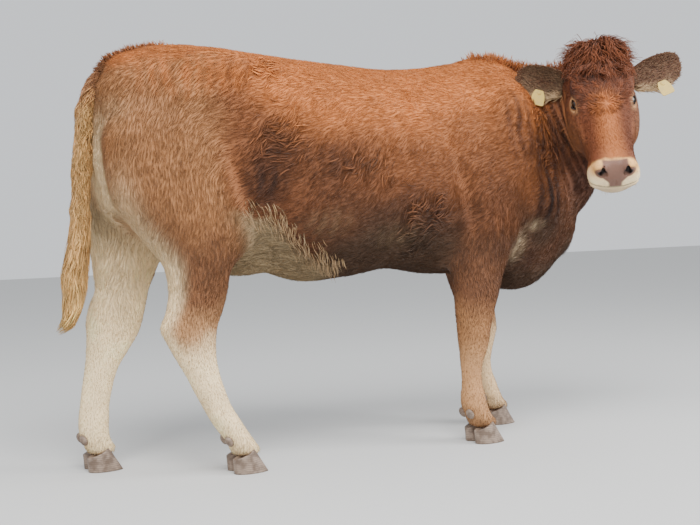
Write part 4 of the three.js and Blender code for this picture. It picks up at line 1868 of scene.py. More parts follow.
    def bare(self, at_head: Array) -> tuple[Array, Array]:
        """Where the skin shows without hair.

        Args:
            at_head: points in the head's frame.

        Returns:
            The share of damp nose pad, and the share of dark skin: dark lids, with painted shade inside the
            nostrils and along the crease between the lips.
        """
        x, y, z = at_head.T
        width = 20.0 + 32.0 * step(-66.0, -26.0, z) - 12.0 * step(-14.0, 10.0, z)
        pad = step(width + 5.0, width - 3.0, np.abs(y)) * step(288.0, 297.0, x + 0.28 * (z + 40))
        pad = pad * step(self.mouth_at - 2.0, self.mouth_at + 6.0, z) * (x < 420.0)
        dark = np.zeros(len(x))
        for side in Side:
            around = np.linalg.norm((at_head - (306, side.value * 42, -22)) / (24, 18, 16), axis=1)
            pad = np.maximum(pad, step(1.5, 1.2, around))
            # Painted shade inside the nostril.
            dark = np.maximum(dark, step(1.0, 0.7, around))
            e = EYE.enter(at_head, side)
            arch = np.maximum(1.0 - (e[:, 0] / (EYE.half_length + 2.0)) ** 2, 0.0)
            rim = np.where(e[:, 1] > -1.0, e[:, 1] + 1 - EYE.upper * arch, -e[:, 1] - 1 - EYE.lower * arch)
            lid = step(3.6, 1.8, rim) * step(-2.0, 4.0, e[:, 2]) * (np.abs(e[:, 0]) < EYE.half_length + 4.0)
            dark = np.maximum(dark, lid)
        # Painted shade along the crease between the lips.
        lips = bump(z - mouth_line(at_head), 0.0, 4.5) * step(150.0, 190.0, x) * step(120.0, 100.0, np.abs(y))
        dark = np.maximum(dark, 0.8 * lips * (x < 420.0))
        return pad, dark

    def colour(self, points: Array, normals: Array) -> Array:
        """The coat's colour at each point of the skin, with its painted light and shade.

        Args:
            points: places, in millimetres.
            normals: the skin's normals there.

        Returns:
            Linear red, green and blue.
        """
        shares = self.body.near_weights(points)
        at_head = HEAD.enter(points)
        out = self.trunk(points, normals) * shares["trunk"][:, None]
        out += self.neck(points, normals) * shares["neck"][:, None]
        out += self.head(at_head) * shares["face"][:, None]
        for leg in Leg:
            out += self.leg(points, normals, leg) * shares[leg.value][:, None]
        ragged = 0.75 + 0.5 * np.sin(points[:, 0] / 6.5 + 3.0 * self.fine.at(points, 60.0))
        for patch in PATCHES:
            share = patch.share(points) * ragged * (1.0 - shares["face"])
            out = self.over(out, getattr(self, patch.colour), share)
        drift = 1.0 + 0.10 * self.broad.at(points, 75.0) + 0.07 * self.fine.at(points, 23.0)
        return out * drift[:, None]


@dataclass
class CoatLie:
    """Which way the coat lies, and how it curls."""

    body: Body
    swirl: Noise = field(default_factory=lambda: Noise(31))
    wave: Noise = field(default_factory=lambda: Noise(32))
    whorl: tuple[float, float, float] = (62.0, 6.0, 64.0)

    def curl(self, points: Array) -> Array:
        """How wavy the coat is: strongest in patches on the flank, ribs and shoulder.

        Args:
            points: places, in millimetres.

        Returns:
            One share for each point.
        """
        share = np.full(len(points), 0.22)
        for middle, reach in WAVY:
            share = np.maximum(share, mound(points, middle, reach) ** 0.5)
        return np.where(points[:, 2] < 520.0, 0.1, share)

    def flow(self, points: Array, normals: Array) -> Array:
        """Unit vectors along the coat, flat on the skin.

        Args:
            points: places, in millimetres.
            normals: the skin's normals.

        Returns:
            One direction for each point.
        """
        shares = self.body.near_weights(points)
        x = points[:, 0]
        side = 1.0 - np.abs(normals[:, 2])
        rear = step(-480.0, -700.0, x)
        trunk = np.stack([-1.0 + 0.35 * rear, 0 * x, -(0.10 + (0.55 + 0.9 * rear) * side)], axis=1)
        where = self.body.neck.place(points)
        tangent = self.body.neck.tangent(np.clip(where, 0.0, self.body.neck.length))
        neck = -tangent * 0.8 - np.array([0.0, 0.0, 0.9]) * side[:, None]
        at_head = HEAD.enter(points)
        away = at_head - np.array(self.whorl)
        away[:, 2] *= 0.6
        beyond = step(60.0, 110.0, np.linalg.norm(away, axis=1))[:, None]
        face = HEAD.swing(unit(away) + np.array([0.15, 0.0, -0.25]) * beyond)
        out = trunk * shares["trunk"][:, None] + neck * shares["neck"][:, None]
        out += face * shares["face"][:, None]
        down = np.array([-0.12, 0.0, -1.0])
        for leg in Leg:
            out += down * shares[leg.value][:, None]
        out -= normals * dot(out, normals)[:, None]
        turn = self.curl(points) * (1.1 * self.swirl.at(points, 75.0) + 1.6 * self.wave.at(points, 34.0))
        turn += 0.14 * self.wave.at(points + 500.0, 60.0)
        out = unit(out)
        aside = np.cross(normals, out)
        return out * np.cos(turn)[:, None] + aside * np.sin(turn)[:, None]


# ---------------------------------------------------------------- locks of hair


@dataclass
class Locks:
    """Closed, tapered, three-sided locks as arrays, ready to be joined."""

    points: Array  # locks, verts of one lock, 3
    colours: Array  # locks, verts of one lock, 3
    roots: Array  # one place on the skin's unwrap for each lock

    @staticmethod
    def weave(lines: Array, across: Array, width: Array, flat: float, taper: Sequence[float]) -> Array:
        """Sweeps a flat three-sided section along each line.

        Args:
            lines: locks, stations, 3: each lock's line, root first.
            across: locks, 3: the way each lock is wide.
            width: half width of each lock at its widest.
            flat: its height as a share of its half width.
            taper: share of the width at each station but the tip.

        Returns:
            Locks, verts, 3: a ring of three at each station, then the tip.
        """
        rings = []
        count = lines.shape[1]
        for k in range(count - 1):
            along = unit(lines[:, k + 1] - lines[:, max(k - 1, 0)])
            side = unit(across - along * dot(across, along)[:, None])
            rise = np.cross(along, side)
            w = (width * taper[k])[:, None]
            middle = lines[:, k]
            rings += [middle - side * w, middle + side * w, middle + rise * w * flat]
        rings.append(lines[:, -1])
        return np.stack(rings, axis=1)

    @staticmethod
    def faces(stations: int) -> Array:
        """Triangles of one lock with this many stations, tip included.

        Args:
            stations: stations of a lock, tip included.

        Returns:
            The corners of each triangle.
        """
        out = [(0, 1, 2)]
        for k in range(stations - 2):
            a, b = 3 * k, 3 * (k + 1)
            for i in range(3):
                j = (i + 1) % 3
                out += [(a + i, b + j, a + j), (a + i, b + i, b + j)]
        last, tip = 3 * (stations - 2), 3 * (stations - 1)
        out += [(last + i, tip, last + (i + 1) % 3) for i in range(3)]
        return np.array(out)

    @property
    def stations(self) -> int:
        """Stations of each lock, tip included."""
        return (self.points.shape[1] - 1) // 3 + 1

    def mesh(self, name: str) -> bpy.types.Mesh:
        """One mesh of all the locks, with colours and the OFBake map.

        Args:
            name: the mesh's name.

        Returns:
            The mesh.
        """
        pattern = self.faces(self.stations)
        count, verts = self.points.shape[:2]
        faces = (pattern[None] + (np.arange(count) * verts)[:, None, None]).reshape(-1, 3)
        mesh = make_mesh(name, to_frame(self.points.reshape(-1, 3)), faces)
        set_colour(mesh, self.colours.reshape(-1, 3))
        patch = 0.003
        down = np.array([min(v // 3, self.stations - 1) / (self.stations - 1) for v in range(verts)])
        aside = np.array([(0.0, 1.0, 0.5)[v % 3] if v < verts - 1 else 0.5 for v in range(verts)])
        local = np.stack([aside, down], axis=1) * patch - patch / 2
        uv = (self.roots[:, None, :] + local[None]).reshape(-1, 2)
        layer = mesh.uv_layers.new(name="OFBake")
        index = np.zeros(len(mesh.loops), np.int32)
        mesh.loops.foreach_get("vertex_index", index)
        layer.data.foreach_set("uv", uv[index].astype(np.float32).ravel())
        return mesh


@dataclass(frozen=True)
class Unwrap:
    """The skin's own unwrap: each main form rolled out flat in its own strip."""

    body: Body
    strips: dict[str, tuple[float, float, float, float]] = field(default_factory=lambda: {
        "trunk": (0.01, 0.01, 0.60, 0.60),
        "neck": (0.62, 0.01, 0.99, 0.36),
        "face": (0.62, 0.37, 0.99, 0.70),
        "fore_right": (0.01, 0.62, 0.30, 0.80),
        "fore_left": (0.32, 0.62, 0.60, 0.80),
        "hind_right": (0.01, 0.81, 0.30, 0.99),
        "hind_left": (0.32, 0.81, 0.60, 0.99),
        "ear_right": (0.62, 0.72, 0.80, 0.85),
        "ear_left": (0.81, 0.72, 0.99, 0.85),
        "tail": (0.62, 0.86, 0.99, 0.99),
    })

    def lay(self, name: str, along: Array, round_it: Array) -> Array:
        """Places in a strip, from shares along and round the form."""
        u0, v0, u1, v1 = self.strips[name]
        return np.stack([u0 + (u1 - u0) * np.clip(along, 0, 1), v0 + (v1 - v0) * np.clip(round_it, 0, 1)], 1)

    def rolled(self, name: str, form: Swept, points: Array) -> Array:
        """Points near a swept form, rolled out into its strip."""
        where, rise, aside, _ = form.section(points)
        return self.lay(name, where / form.length, np.arctan2(aside, rise) / (2 * math.pi) + 0.5)

    def at(self, points: Array) -> Array:
        """Places on the unwrap for points of the body's skin.

        Args:
            points: places, in millimetres.

        Returns:
            One pair for each point.
        """
        shares = self.body.near_weights(points)
        forms = {"trunk": self.body.trunk, "neck": self.body.neck, "face": self.body.face}
        forms.update({leg.value: form for leg, form in self.body.legs.items()})
        names = list(forms)
        best = np.argmax(np.stack([shares[name] for name in names]), axis=0)
        out = np.zeros((len(points), 2))
        for i, name in enumerate(names):
            mine = best == i
            if mine.any():
                local = HEAD.enter(points[mine]) if name == "face" else points[mine]
                out[mine] = self.rolled(name, forms[name], local)
        return out


@dataclass
class Skin:
    """A mesh that hair grows on: vertices in millimetres, triangles, and the vertices' normals."""

    points: Array
    faces: Array
    normals: Array

    @property
    def middles(self) -> Array:
        """The middle of each triangle."""
        return self.points[self.faces].mean(axis=1)

    def scatter(self, density: Array, seed: int) -> tuple[Array, Array, np.random.Generator]:
        """Evenly random places on the triangles.

        Args:
            density: places for each square millimetre, one for each triangle.
            seed: fixes the places.

        Returns:
            The triangle of each place, its shares of the three corners, and the generator.
        """
        rng = np.random.default_rng(seed)
        a, b, c = (self.points[self.faces[:, n]] for n in range(3))
        weight = np.cumsum(0.5 * np.linalg.norm(np.cross(b - a, c - a), axis=1) * density)
        count = int(weight[-1])
        ticks = (np.arange(count) + rng.random(count)) / count * weight[-1]
        chosen = np.minimum(np.searchsorted(weight, ticks), len(self.faces) - 1)
        u, v = rng.random((2, count))
        fold = u + v > 1
        u, v = np.where(fold, 1 - u, u), np.where(fold, 1 - v, v)
        return chosen, np.stack([1 - u - v, u, v], axis=1), rng

    def read(self, values: Array, chosen: Array, share: Array) -> Array:
        """Values of the vertices at places on the triangles."""
        return np.einsum("ij,ijk->ik", share, values[self.faces[chosen]])

    def sow(self, density: Array, seed: int) -> tuple[Array, Array, np.random.Generator]:
        """Evenly random places for hairs.

        Args:
            density: hairs for each square millimetre, one for each triangle.
            seed: fixes the places.

        Returns:
            The places, the normals there, and the generator.
        """
        chosen, share, rng = self.scatter(density, seed)
        normal = unit(self.read(self.normals, chosen, share))
        return self.read(self.points, chosen, share), normal, rng


def grow(
    roots: Array, start: Array, later: Array, length: Array, stations: int,
    wave: Noise, curl: float, coil: float,
) -> Array:
    """Lines of long locks that set off one way and turn another.

    Args:
        roots: where each lock leaves the skin.
        start: the way it sets off.
        later: the way it turns to.
        length: each lock's length.
        stations: points on each line.
        wave: noise that bends the locks.
        curl: how much it bends them.
        coil: size of the bends, in millimetres.

    Returns:
        Locks, stations, 3.
    """
    line = [roots]
    for k in range(1, stations):
        t = (k - 0.5) / (stations - 1)
        way = unit(start * (1 - t) + later * t)
        bend = np.stack([wave.at(line[-1] + shift, coil) for shift in (0.0, 300.0, 700.0)], axis=1)
        way = unit(way + curl * bend)
        line.append(line[-1] + way * (length / (stations - 1))[:, None])
    return np.stack(line, axis=1)


@dataclass
class Coat:
    """Short hair over the body: joined locks in pieces below the size limit."""

    body: Body
    marks_and_painted_light: MarkingsAndPaintedLight
    lie: CoatLie
    unwrap: Unwrap
    finish: bpy.types.Material
    most: int = 190_000  # triangles in a piece

    trunk_density: float = 0.036
    wave_density: float = 0.013
    leg_density: float = 0.044
    face_density: float = 0.085
    fringe_density: float = 0.014
    # Half widths and lengths in millimetres, and lifts as shares of the length.
    body_half: Size = Size(1.5, 0.3, 0.8, 2.4)
    body_lift: Size = Size(0.24, 0.06, 0.1, 0.6)
    wave_half: Size = Size(1.9, 0.4, 1.0, 3.0)
    wave_lift: Size = Size(0.34, 0.06, 0.14, 0.7)
    leg_half: Size = Size(1.35, 0.25, 0.7, 2.2)
    leg_lift: Size = Size(0.2, 0.06, 0.08, 0.4)
    face_half: Size = Size(1.15, 0.2, 0.5, 1.8)
    fringe_length: Size = Size(36.0, 9.0, 18.0, 60.0)
    fringe_half: Size = Size(0.9, 0.2, 0.5, 1.4)
    tufts: Noise = field(default_factory=lambda: Noise(41))

    @staticmethod
    def shade(colour: Array, rng: np.random.Generator, stations: int, spread: float, rise: float) -> Array:
        """Colours down each lock: darker at the root, lighter at the tip, each lock a little its own.

        Args:
            colour: the colour of each lock.
            rng: the set's generator.
            stations: stations of a lock, tip included.
            spread: how much the locks differ.
            rise: how much lighter the tip is than the root.

        Returns:
            One linear colour for each vertex of each lock.
        """
        own = 1.0 + spread * rng.standard_normal(len(colour))
        own = np.clip(own, 0.55, 1.5)
        warm = 1.0 + 0.05 * rng.standard_normal((len(colour), 1)) * np.array([0.3, 0.0, -0.8])
        down = np.linspace(1.0 - rise, 1.0 + rise * 0.8, stations)
        per_vert = np.concatenate([np.repeat(down[:-1], 3), down[-1:]])
        return np.clip(colour * warm * own[:, None], 0, 1)[:, None, :] * per_vert[None, :, None]

    def bald(self, points: Array) -> Array:
        """Where no hair grows: 0 on bare skin, 1 elsewhere.

        Args:
            points: places, in millimetres.

        Returns:
            One value for each point.
        """
        at_head = HEAD.enter(points)
        pad, dark = self.marks_and_painted_light.bare(at_head)
        near_head = np.linalg.norm(at_head, axis=1) < 420.0
        grown = np.where(near_head, 1.0 - np.clip(pad + dark, 0, 1), 1.0)
        for side in Side:
            e = EYE.enter(at_head, side)
            arch = np.maximum(1.0 - (e[:, 0] / EYE.half_length) ** 2, 0.0)
            above, below = e[:, 1] + 1 < EYE.upper * arch + 4.5, -e[:, 1] - 1 < EYE.lower * arch + 4.5
            gap = np.where(e[:, 1] > -1, above, below) & (e[:, 2] > 0)
            grown = np.where(gap & (np.abs(e[:, 0]) < EYE.half_length + 4), 0.0, grown)
        for x, y in FEET.values():
            low = (np.hypot(points[:, 0] - x, points[:, 1] - y) < 130.0) & (points[:, 2] < 62.0)
            grown = np.where(low, 0.0, grown)
        return grown

    def build(self, skin: Skin) -> list[tuple[str, Locks]]:
        """Locks for the trunk and neck, then short spikes for legs and face.

        Args:
            skin: the body's skin.

        Returns:
            Named sets of locks.
        """
        middle = skin.middles
        shares = self.body.near_weights(middle)
        grown = self.bald(middle)
        leg = sum(shares[leg.value] for leg in Leg)
        low = step(700.0, 460.0, middle[:, 2]) * leg
        face = shares["face"]
        on_trunk = grown * (low < 0.5) * (face < 0.5)
        on_leg = grown * (low >= 0.5)
        on_face = grown * (face >= 0.5) * (low < 0.5)
        curl = self.lie.curl(middle)
        waves = step(0.35, 0.8, curl) * on_trunk
        sets = (
            ("body", self.body_hair, self.trunk_density * on_trunk * (1 - 0.3 * curl), Seed.BODY),
            ("waves", self.wavy_locks, self.wave_density * waves, Seed.WAVES),
            ("legs", self.leg_spikes, self.leg_density * on_leg, Seed.LEGS),
            ("face", self.face_spikes, self.face_density * on_face, Seed.FACE),
        )
        return [(name, kind(*skin.sow(density, seed))) for name, kind, density, seed in sets]

    def dress(
        self, verts: Array, colour: Array, place: Array, rng: np.random.Generator, spread: float, rise: float
    ) -> Locks:
        """Locks with their colours and their places on the unwrap.

        Args:
            verts: the vertices of each lock.
            colour: the colour of each lock.
            place: where each leaves the skin.
            rng: the set's generator.
            spread: how much the locks differ.
            rise: how much lighter the tip is than the root.

        Returns:
            The finished locks.
        """
        stations = (verts.shape[1] - 1) // 3 + 1
        return Locks(verts, self.shade(colour, rng, stations, spread, rise), self.unwrap.at(place))

    def hang(
        self, place: Array, normal: Array, start: Array, later: Array, length: Array, half: Array,
        curl: float, coil: float, taper: Sequence[float],
    ) -> Array:
        """The vertices of long locks that set off one way and turn another.

        Args:
            place: where each leaves the skin.
            normal: the skin's normal there.
            start: the way it sets off.
            later: the way it turns to.
            length: its length.
            half: its half width.
            curl: how much it bends.
            coil: size of the bends, in millimetres.
            taper: share of the width at each station but the tip.

        Returns:
            Locks, verts, 3.
        """
        lines = grow(place - 1.5 * normal, start, later, length, len(taper) + 1, self.tufts, curl, coil)
        return Locks.weave(lines, unit(np.cross(later, normal)), half, 0.8, taper)

    def lay(
        self, place: Array, normal: Array, flow: Array, length: Array, half: Array,
        lift: Array, stations: int, rng: np.random.Generator, bend: Array | None = None,
    ) -> Array:
        """The vertices of locks that lie along the skin.

        Args:
            place: where each hair leaves the skin.
            normal: the skin's normal there.
            flow: the way each lies.
            length: the length of each.
            half: the half width of each.
            lift: how steeply each leaves the skin.
            stations: stations of a lock, tip included.
            rng: the set's generator.
            bend: how far each bends aside.

        Returns:
            Locks, verts, 3.
        """
        lines = [place - 1.2 * normal]
        aside = np.cross(normal, flow)
        bend = np.zeros(len(place)) if bend is None else bend
        for k in range(1, stations):
            t = k / (stations - 1)
            reach = length * t
            height = length * lift * (t - 0.45 * t * t)
            lines.append(place + flow * reach[:, None] + normal * height[:, None]
                         + aside * (bend * length * t * t)[:, None])
        across = unit(aside + 0.35 * rng.standard_normal((len(place), 1)) * normal)
        return Locks.weave(np.stack(lines, axis=1), across, half, 0.9, (0.85, 1.0, 0.7, 0.5)[: stations - 1])

    def body_hair(self, place: Array, normal: Array, rng: np.random.Generator) -> Locks:
        """Fine short hair of the trunk, neck and thighs.

        Args:
            place: where each hair leaves the skin.
            normal: the skin's normal there.
            rng: the set's generator.

        Returns:
            The locks.
        """
        curl = self.lie.curl(place)
        flow = self.lie.flow(place, normal)
        clump = self.tufts.at(place, 15.0)
        length = 25.0 + 5.0 * curl + 4.0 * rng.standard_normal(len(place)) + 4.0 * clump
        length *= 1.0 - 0.3 * mound(place, (-360, 0, 640), (260, 260, 150))
        half = self.body_half.draw(rng, len(place))
        lift = self.body_lift.draw(rng, len(place), 0.1 * curl * (1 + clump))
        verts = self.lay(place, normal, flow, np.clip(length, 10.0, 45.0), half, lift, 2, rng)
        # Painted shade: the short hair is up to half darker where the coat is wavy, in the troughs between
        # the waved locks.
        ground = 1.0 - 0.5 * step(0.35, 0.85, curl)
        colour = self.marks_and_painted_light.colour(place, normal) * (ground * (1.0 + 0.12 * clump))[:, None]
        return self.dress(verts, colour, place, rng, 0.11, 0.2)

    def wavy_locks(self, place: Array, normal: Array, rng: np.random.Generator) -> Locks:
        """Longer waved locks that stand out of the coat in patches.

        Args:
            place: where each hair leaves the skin.
            normal: the skin's normal there.
            rng: the set's generator.

        Returns:
            The locks.
        """
        curl = self.lie.curl(place)
        flow = self.lie.flow(place, normal)
        clump = self.tufts.at(place * np.array([0.75, 1.0, 1.6]), 24.0)
        length = np.clip(42.0 + 7.0 * rng.standard_normal(len(place)) + 10.0 * clump, 24.0, 66.0)
        half = self.wave_half.draw(rng, len(place))
        lift = self.wave_lift.draw(rng, len(place), 0.2 * curl * clump)
        bend = 0.85 * self.tufts.at(place + 900.0, 26.0) + 0.15 * rng.standard_normal(len(place))
        verts = self.lay(place, normal, flow, length, half, lift, 4, rng, bend)
        # Lighter where the locks clump and stand highest, darker between: painted light on the waves' crests
        # and painted shade in their troughs.
        colour = self.marks_and_painted_light.colour(place, normal) * (0.95 + 0.70 * clump)[:, None]
        return self.dress(verts, colour, place, rng, 0.10, 0.26)

    def leg_spikes(self, place: Array, normal: Array, rng: np.random.Generator) -> Locks:
        """Short close hair of the legs.

        Args:
            place: where each hair leaves the skin.
            normal: the skin's normal there.
            rng: the set's generator.

        Returns:
            The locks.
        """
        flow = self.lie.flow(place, normal)
        length = 11.0 + 12.0 * step(250.0, 650.0, place[:, 2]) + 2.2 * rng.standard_normal(len(place))
        length += 7.0 * bump(place[:, 2], 90.0, 50.0)
        half = self.leg_half.draw(rng, len(place))
        lift = self.leg_lift.draw(rng, len(place))
        verts = self.lay(place, normal, flow, np.clip(length, 6, 30), half, lift, 2, rng)
        colour = self.marks_and_painted_light.colour(place, normal)
        return self.dress(verts, colour, place, rng, 0.11, 0.2)

    def face_spikes(self, place: Array, normal: Array, rng: np.random.Generator) -> Locks:
        """Short hair of the face, longest on the forehead and shortest on the muzzle.

        Args:
            place: where each hair leaves the skin.
            normal: the skin's normal there.
            rng: the set's generator.

        Returns:
            The locks.
        """
        at_head = HEAD.enter(place)
        flow = self.lie.flow(place, normal)
        clump = self.tufts.at(place, 9.0)
        muzzle = step(200.0, 270.0, at_head[:, 0])
        brow = step(70.0, -60.0, at_head[:, 0]) * step(-10.0, 40.0, at_head[:, 2])
        length = 13.0 + 10.0 * brow - 7.0 * muzzle + 1.8 * rng.standard_normal(len(place)) + 1.5 * clump
        for side in Side:
            e = EYE.enter(at_head, side)
            length *= 1.0 - 0.68 * bump(np.linalg.norm(e, axis=1), 24.0, 18.0)
        half = self.face_half.draw(rng, len(place), 0.2 * brow, -0.35 * muzzle)
        whorl = bump(np.linalg.norm(at_head - self.lie.whorl, axis=1), 0.0, 9.0)
        lift = 0.17 + 0.14 * brow + 0.05 * rng.standard_normal(len(place)) + 0.7 * whorl
        lift = np.clip(lift, 0.06, 0.9)
        verts = self.lay(place, normal, flow, np.clip(length, 4, 30), half, lift, 2, rng)
        streak = self.tufts.at(place * np.array([1.0, 1.0, 0.6]), 17.0)
        light = 1.0 + (0.12 * clump + 0.28 * streak) * (1.0 - muzzle)
        colour = self.marks_and_painted_light.colour(place, normal) * light[:, None]
        return self.dress(verts, colour, place, rng, 0.11, 0.22)

    def fringe(self, skin: Skin) -> Locks:
        """Long pale hair that hangs along the flank's fold.

        Args:
            skin: the body's skin.

        Returns:
            The locks.
        """
        x, _, z = skin.middles.T
        near = bump(z - self.marks_and_painted_light.fold_line(x), 14.0, 52.0) * step(-470.0, -430.0, x)
        near = near * step(-90.0, -150.0, x) * step(0.35, 0.6, np.abs(skin.normals[skin.faces[:, 0], 1]))
        place, normal, rng = skin.sow(self.fringe_density * near, Seed.FRINGE)
        count = len(place)
        start = unit(normal * 0.3 + np.array([0.35, 0.0, -0.9]) + 0.15 * rng.standard_normal((count, 3)))
        later = unit(np.array([0.35, 0.0, -1.0]) + 0.2 * rng.standard_normal((count, 3)))
        length = self.fringe_length.draw(rng, count)
        half = self.fringe_half.draw(rng, count)
        verts = self.hang(place, normal, start, later, length, half, 0.45, 26.0, (0.8, 1.0, 0.9, 0.5))
        colour = self.marks_and_painted_light.coats(self.marks_and_painted_light.inner, place, (self.marks_and_painted_light.shank, 0.45 * rng.random(count)))
        return self.dress(verts, colour, place, rng, 0.14, 0.3)

    def pieces(self, name: str, locks: Locks, slot: str) -> None:
        """Shows a set of locks in as many pieces as the size limit asks.

        Args:
            name: the set's name.
            locks: the set.
            slot: the name of a material slot, handed on to show.
        """
        each = self.most // len(Locks.faces(locks.stations))
        count = math.ceil(len(locks.points) / each)
        for n in range(count):
            part = slice(n * len(locks.points) // count, (n + 1) * len(locks.points) // count)
            label = f"coat_{name}" if count == 1 else f"coat_{name}_{n + 1}"
            chunk = Locks(locks.points[part], locks.colours[part], locks.roots[part])
            show(label, chunk.mesh(label), self.finish, slot)


@dataclass
class Forelock:
    """The tousled tuft of the poll and the rough crest of the neck."""

    coat: Coat
    poll_density: float = 0.085
    curls_density: float = 0.05
    crest_density: float = 0.045
    # Half widths and lengths in millimetres, and the lift as a share of the length.
    poll_length: Size = Size(62.0, 15.0, 28.0, 100.0)
    crest_length: Size = Size(34.0, 6.0, 14.0, 56.0)
    tuft_half: Size = Size(1.5, 0.3, 0.8, 2.3)
    curls_half: Size = Size(1.3, 0.2, 0.7, 1.9)
    curls_lift: Size = Size(0.36, 0.08, 0.12, 0.8)
    tip_code: str = "#7c4426"

    def poll(self, skin: Skin) -> Locks:
        """Long locks that fall from the poll to both sides and over the forehead.

        Args:
            skin: the body's skin.

        Returns:
            The locks.
        """
        middle = skin.middles
        share = mound(HEAD.enter(middle), (-170, 0, 60), (135, 130, 104))
        ragged = share + 0.16 * self.coat.tufts.at(middle, 18.0)
        density = self.poll_density * (share > 0.02) * step(0.06, 0.30, ragged)
        place, normal, rng = skin.sow(density, Seed.POLL)
        at = HEAD.enter(place)
        count = len(place)
        aside = np.tanh(at[:, 1] / 26.0 + 0.35 * rng.standard_normal(count))
        ahead = step(-270.0, -150.0, at[:, 0])
        sweep = np.stack([0.15 + 1.0 * ahead, 0.95 * aside, 0.15 + 0 * ahead], axis=1)
        sweep = HEAD.swing(unit(sweep))
        start = unit(normal * 0.9 + 0.5 * sweep + 0.22 * rng.standard_normal((count, 3)))
        fall = np.array([0, 0, -0.45])
        later = unit(sweep - 0.35 * normal + fall + 0.2 * rng.standard_normal((count, 3)))
        length = self.poll_length.draw(rng, count)
        length = length * (1.0 + (0.45 * rng.random(count) - 0.3) * step(-190.0, -130.0, at[:, 0]))
        half = self.tuft_half.draw(rng, count)
        taper = (0.8, 1.0, 0.9, 0.7, 0.4)
        verts = self.coat.hang(place, normal, start, later, length, half, 0.75, 22.0, taper)
        colour = self.coat.marks_and_painted_light.colour(place, normal)
        colour = self.coat.marks_and_painted_light.over(colour, self.tip_code, np.full(count, 0.5))
        return self.coat.dress(verts, colour, place, rng, 0.16, 0.32)

    def curls(self, skin: Skin) -> Locks:
        """Small curls of the forehead, round the whorl.

        Args:
            skin: the body's skin.

        Returns:
            The locks.
        """
        middle = skin.middles
        share = mound(HEAD.enter(middle), (-30, 0, 60), (150, 104, 76)) * self.coat.bald(middle)
        place, normal, rng = skin.sow(self.curls_density * (share > 0.1), Seed.CURLS)
        count = len(place)
        flow = self.coat.lie.flow(place, normal)
        clump = self.coat.tufts.at(place, 12.0)
        length = np.clip(22.0 + 4.0 * rng.standard_normal(count) + 5.0 * clump, 10.0, 36.0)
        length = length * (1.0 + 1.3 * step(0.0, -100.0, HEAD.enter(place)[:, 0]))
        lift = self.curls_lift.draw(rng, count, 0.25 * clump)
        bend = 1.1 * self.coat.tufts.at(place + 300.0, 12.0)
        half = self.curls_half.draw(rng, count)
        verts = self.coat.lay(place, normal, flow, length, half, lift, 3, rng, bend)
        colour = self.coat.marks_and_painted_light.colour(place, normal) * (0.92 + 0.5 * clump)[:, None]
        return self.coat.dress(verts, colour, place, rng, 0.12, 0.26)

    def crest(self, skin: Skin) -> Locks:
        """Rough upright hair along the top of the neck, on the withers and over the dock.

        Args:
            skin: the body's skin.

        Returns:
            The locks.
        """
        x, y, z = skin.middles.T
        neck = bump(y + 0.4 * np.maximum(x - 640.0, 0.0), 0.0, 62.0) * bump(x, 650.0, 210.0)
        neck = neck * step(1230.0, 1262.0, z)
        dock = bump(y, 0.0, 62.0) * step(-570.0, -720.0, x) * step(1130.0, 1200.0, z)
        density = self.crest_density * np.clip(1.6 * (neck + dock), 0.0, 1.0)
        place, normal, rng = skin.sow(density, Seed.CREST)
        count = len(place)
        wild = self.coat.tufts.at(place, 30.0)
        start = unit(normal + 0.25 * rng.standard_normal((count, 3)))
        back = np.array([-0.5, -0.25, -0.1])
        later = unit(normal * 0.7 + back + 0.4 * rng.standard_normal((count, 3)))
        length = self.crest_length.draw(rng, count, 12.0 * wild)
        length = length * np.where(place[:, 0] < 0.0, 0.62, 1.0)
        half = self.tuft_half.draw(rng, count)
        taper = (0.8, 1.0, 0.9, 0.5)
        verts = self.coat.hang(place, normal, start, later, length, half, 0.5, 20.0, taper)
        colour = self.coat.marks_and_painted_light.colour(place, normal) * 0.8
        return self.coat.dress(verts, colour, place, rng, 0.16, 0.3)


# ---------------------------------------------------------------- ears, tail, eyes, claws and tags


def tube(rings: Array) -> tuple[Array, Array]:
    """A closed surface through rings of equal count; the first and last close on their middles.

    Args:
        rings: rings, points round each, 3.

    Returns:
        Vertices and triangles, which face outward where rings turn left about their way.
    """
    count, around = rings.shape[:2]
    points = np.vstack([rings.reshape(-1, 3), rings[0].mean(axis=0), rings[-1].mean(axis=0)])
    k, i = np.meshgrid(np.arange(count - 1), np.arange(around), indexing="ij")
    a, b = k * around + i, k * around + (i + 1) % around
    c, d = a + around, b + around
    sides = np.concatenate([np.stack([a, b, d], -1).reshape(-1, 3), np.stack([a, d, c], -1).reshape(-1, 3)])
    i = np.arange(around)
    j = (i + 1) % around
    last = (count - 1) * around
    first_cap = np.stack([np.full(around, count * around), j, i], axis=1)
    last_cap = np.stack([np.full(around, count * around + 1), last + i, last + j], axis=1)
    return points, np.concatenate([sides, first_cap, last_cap])


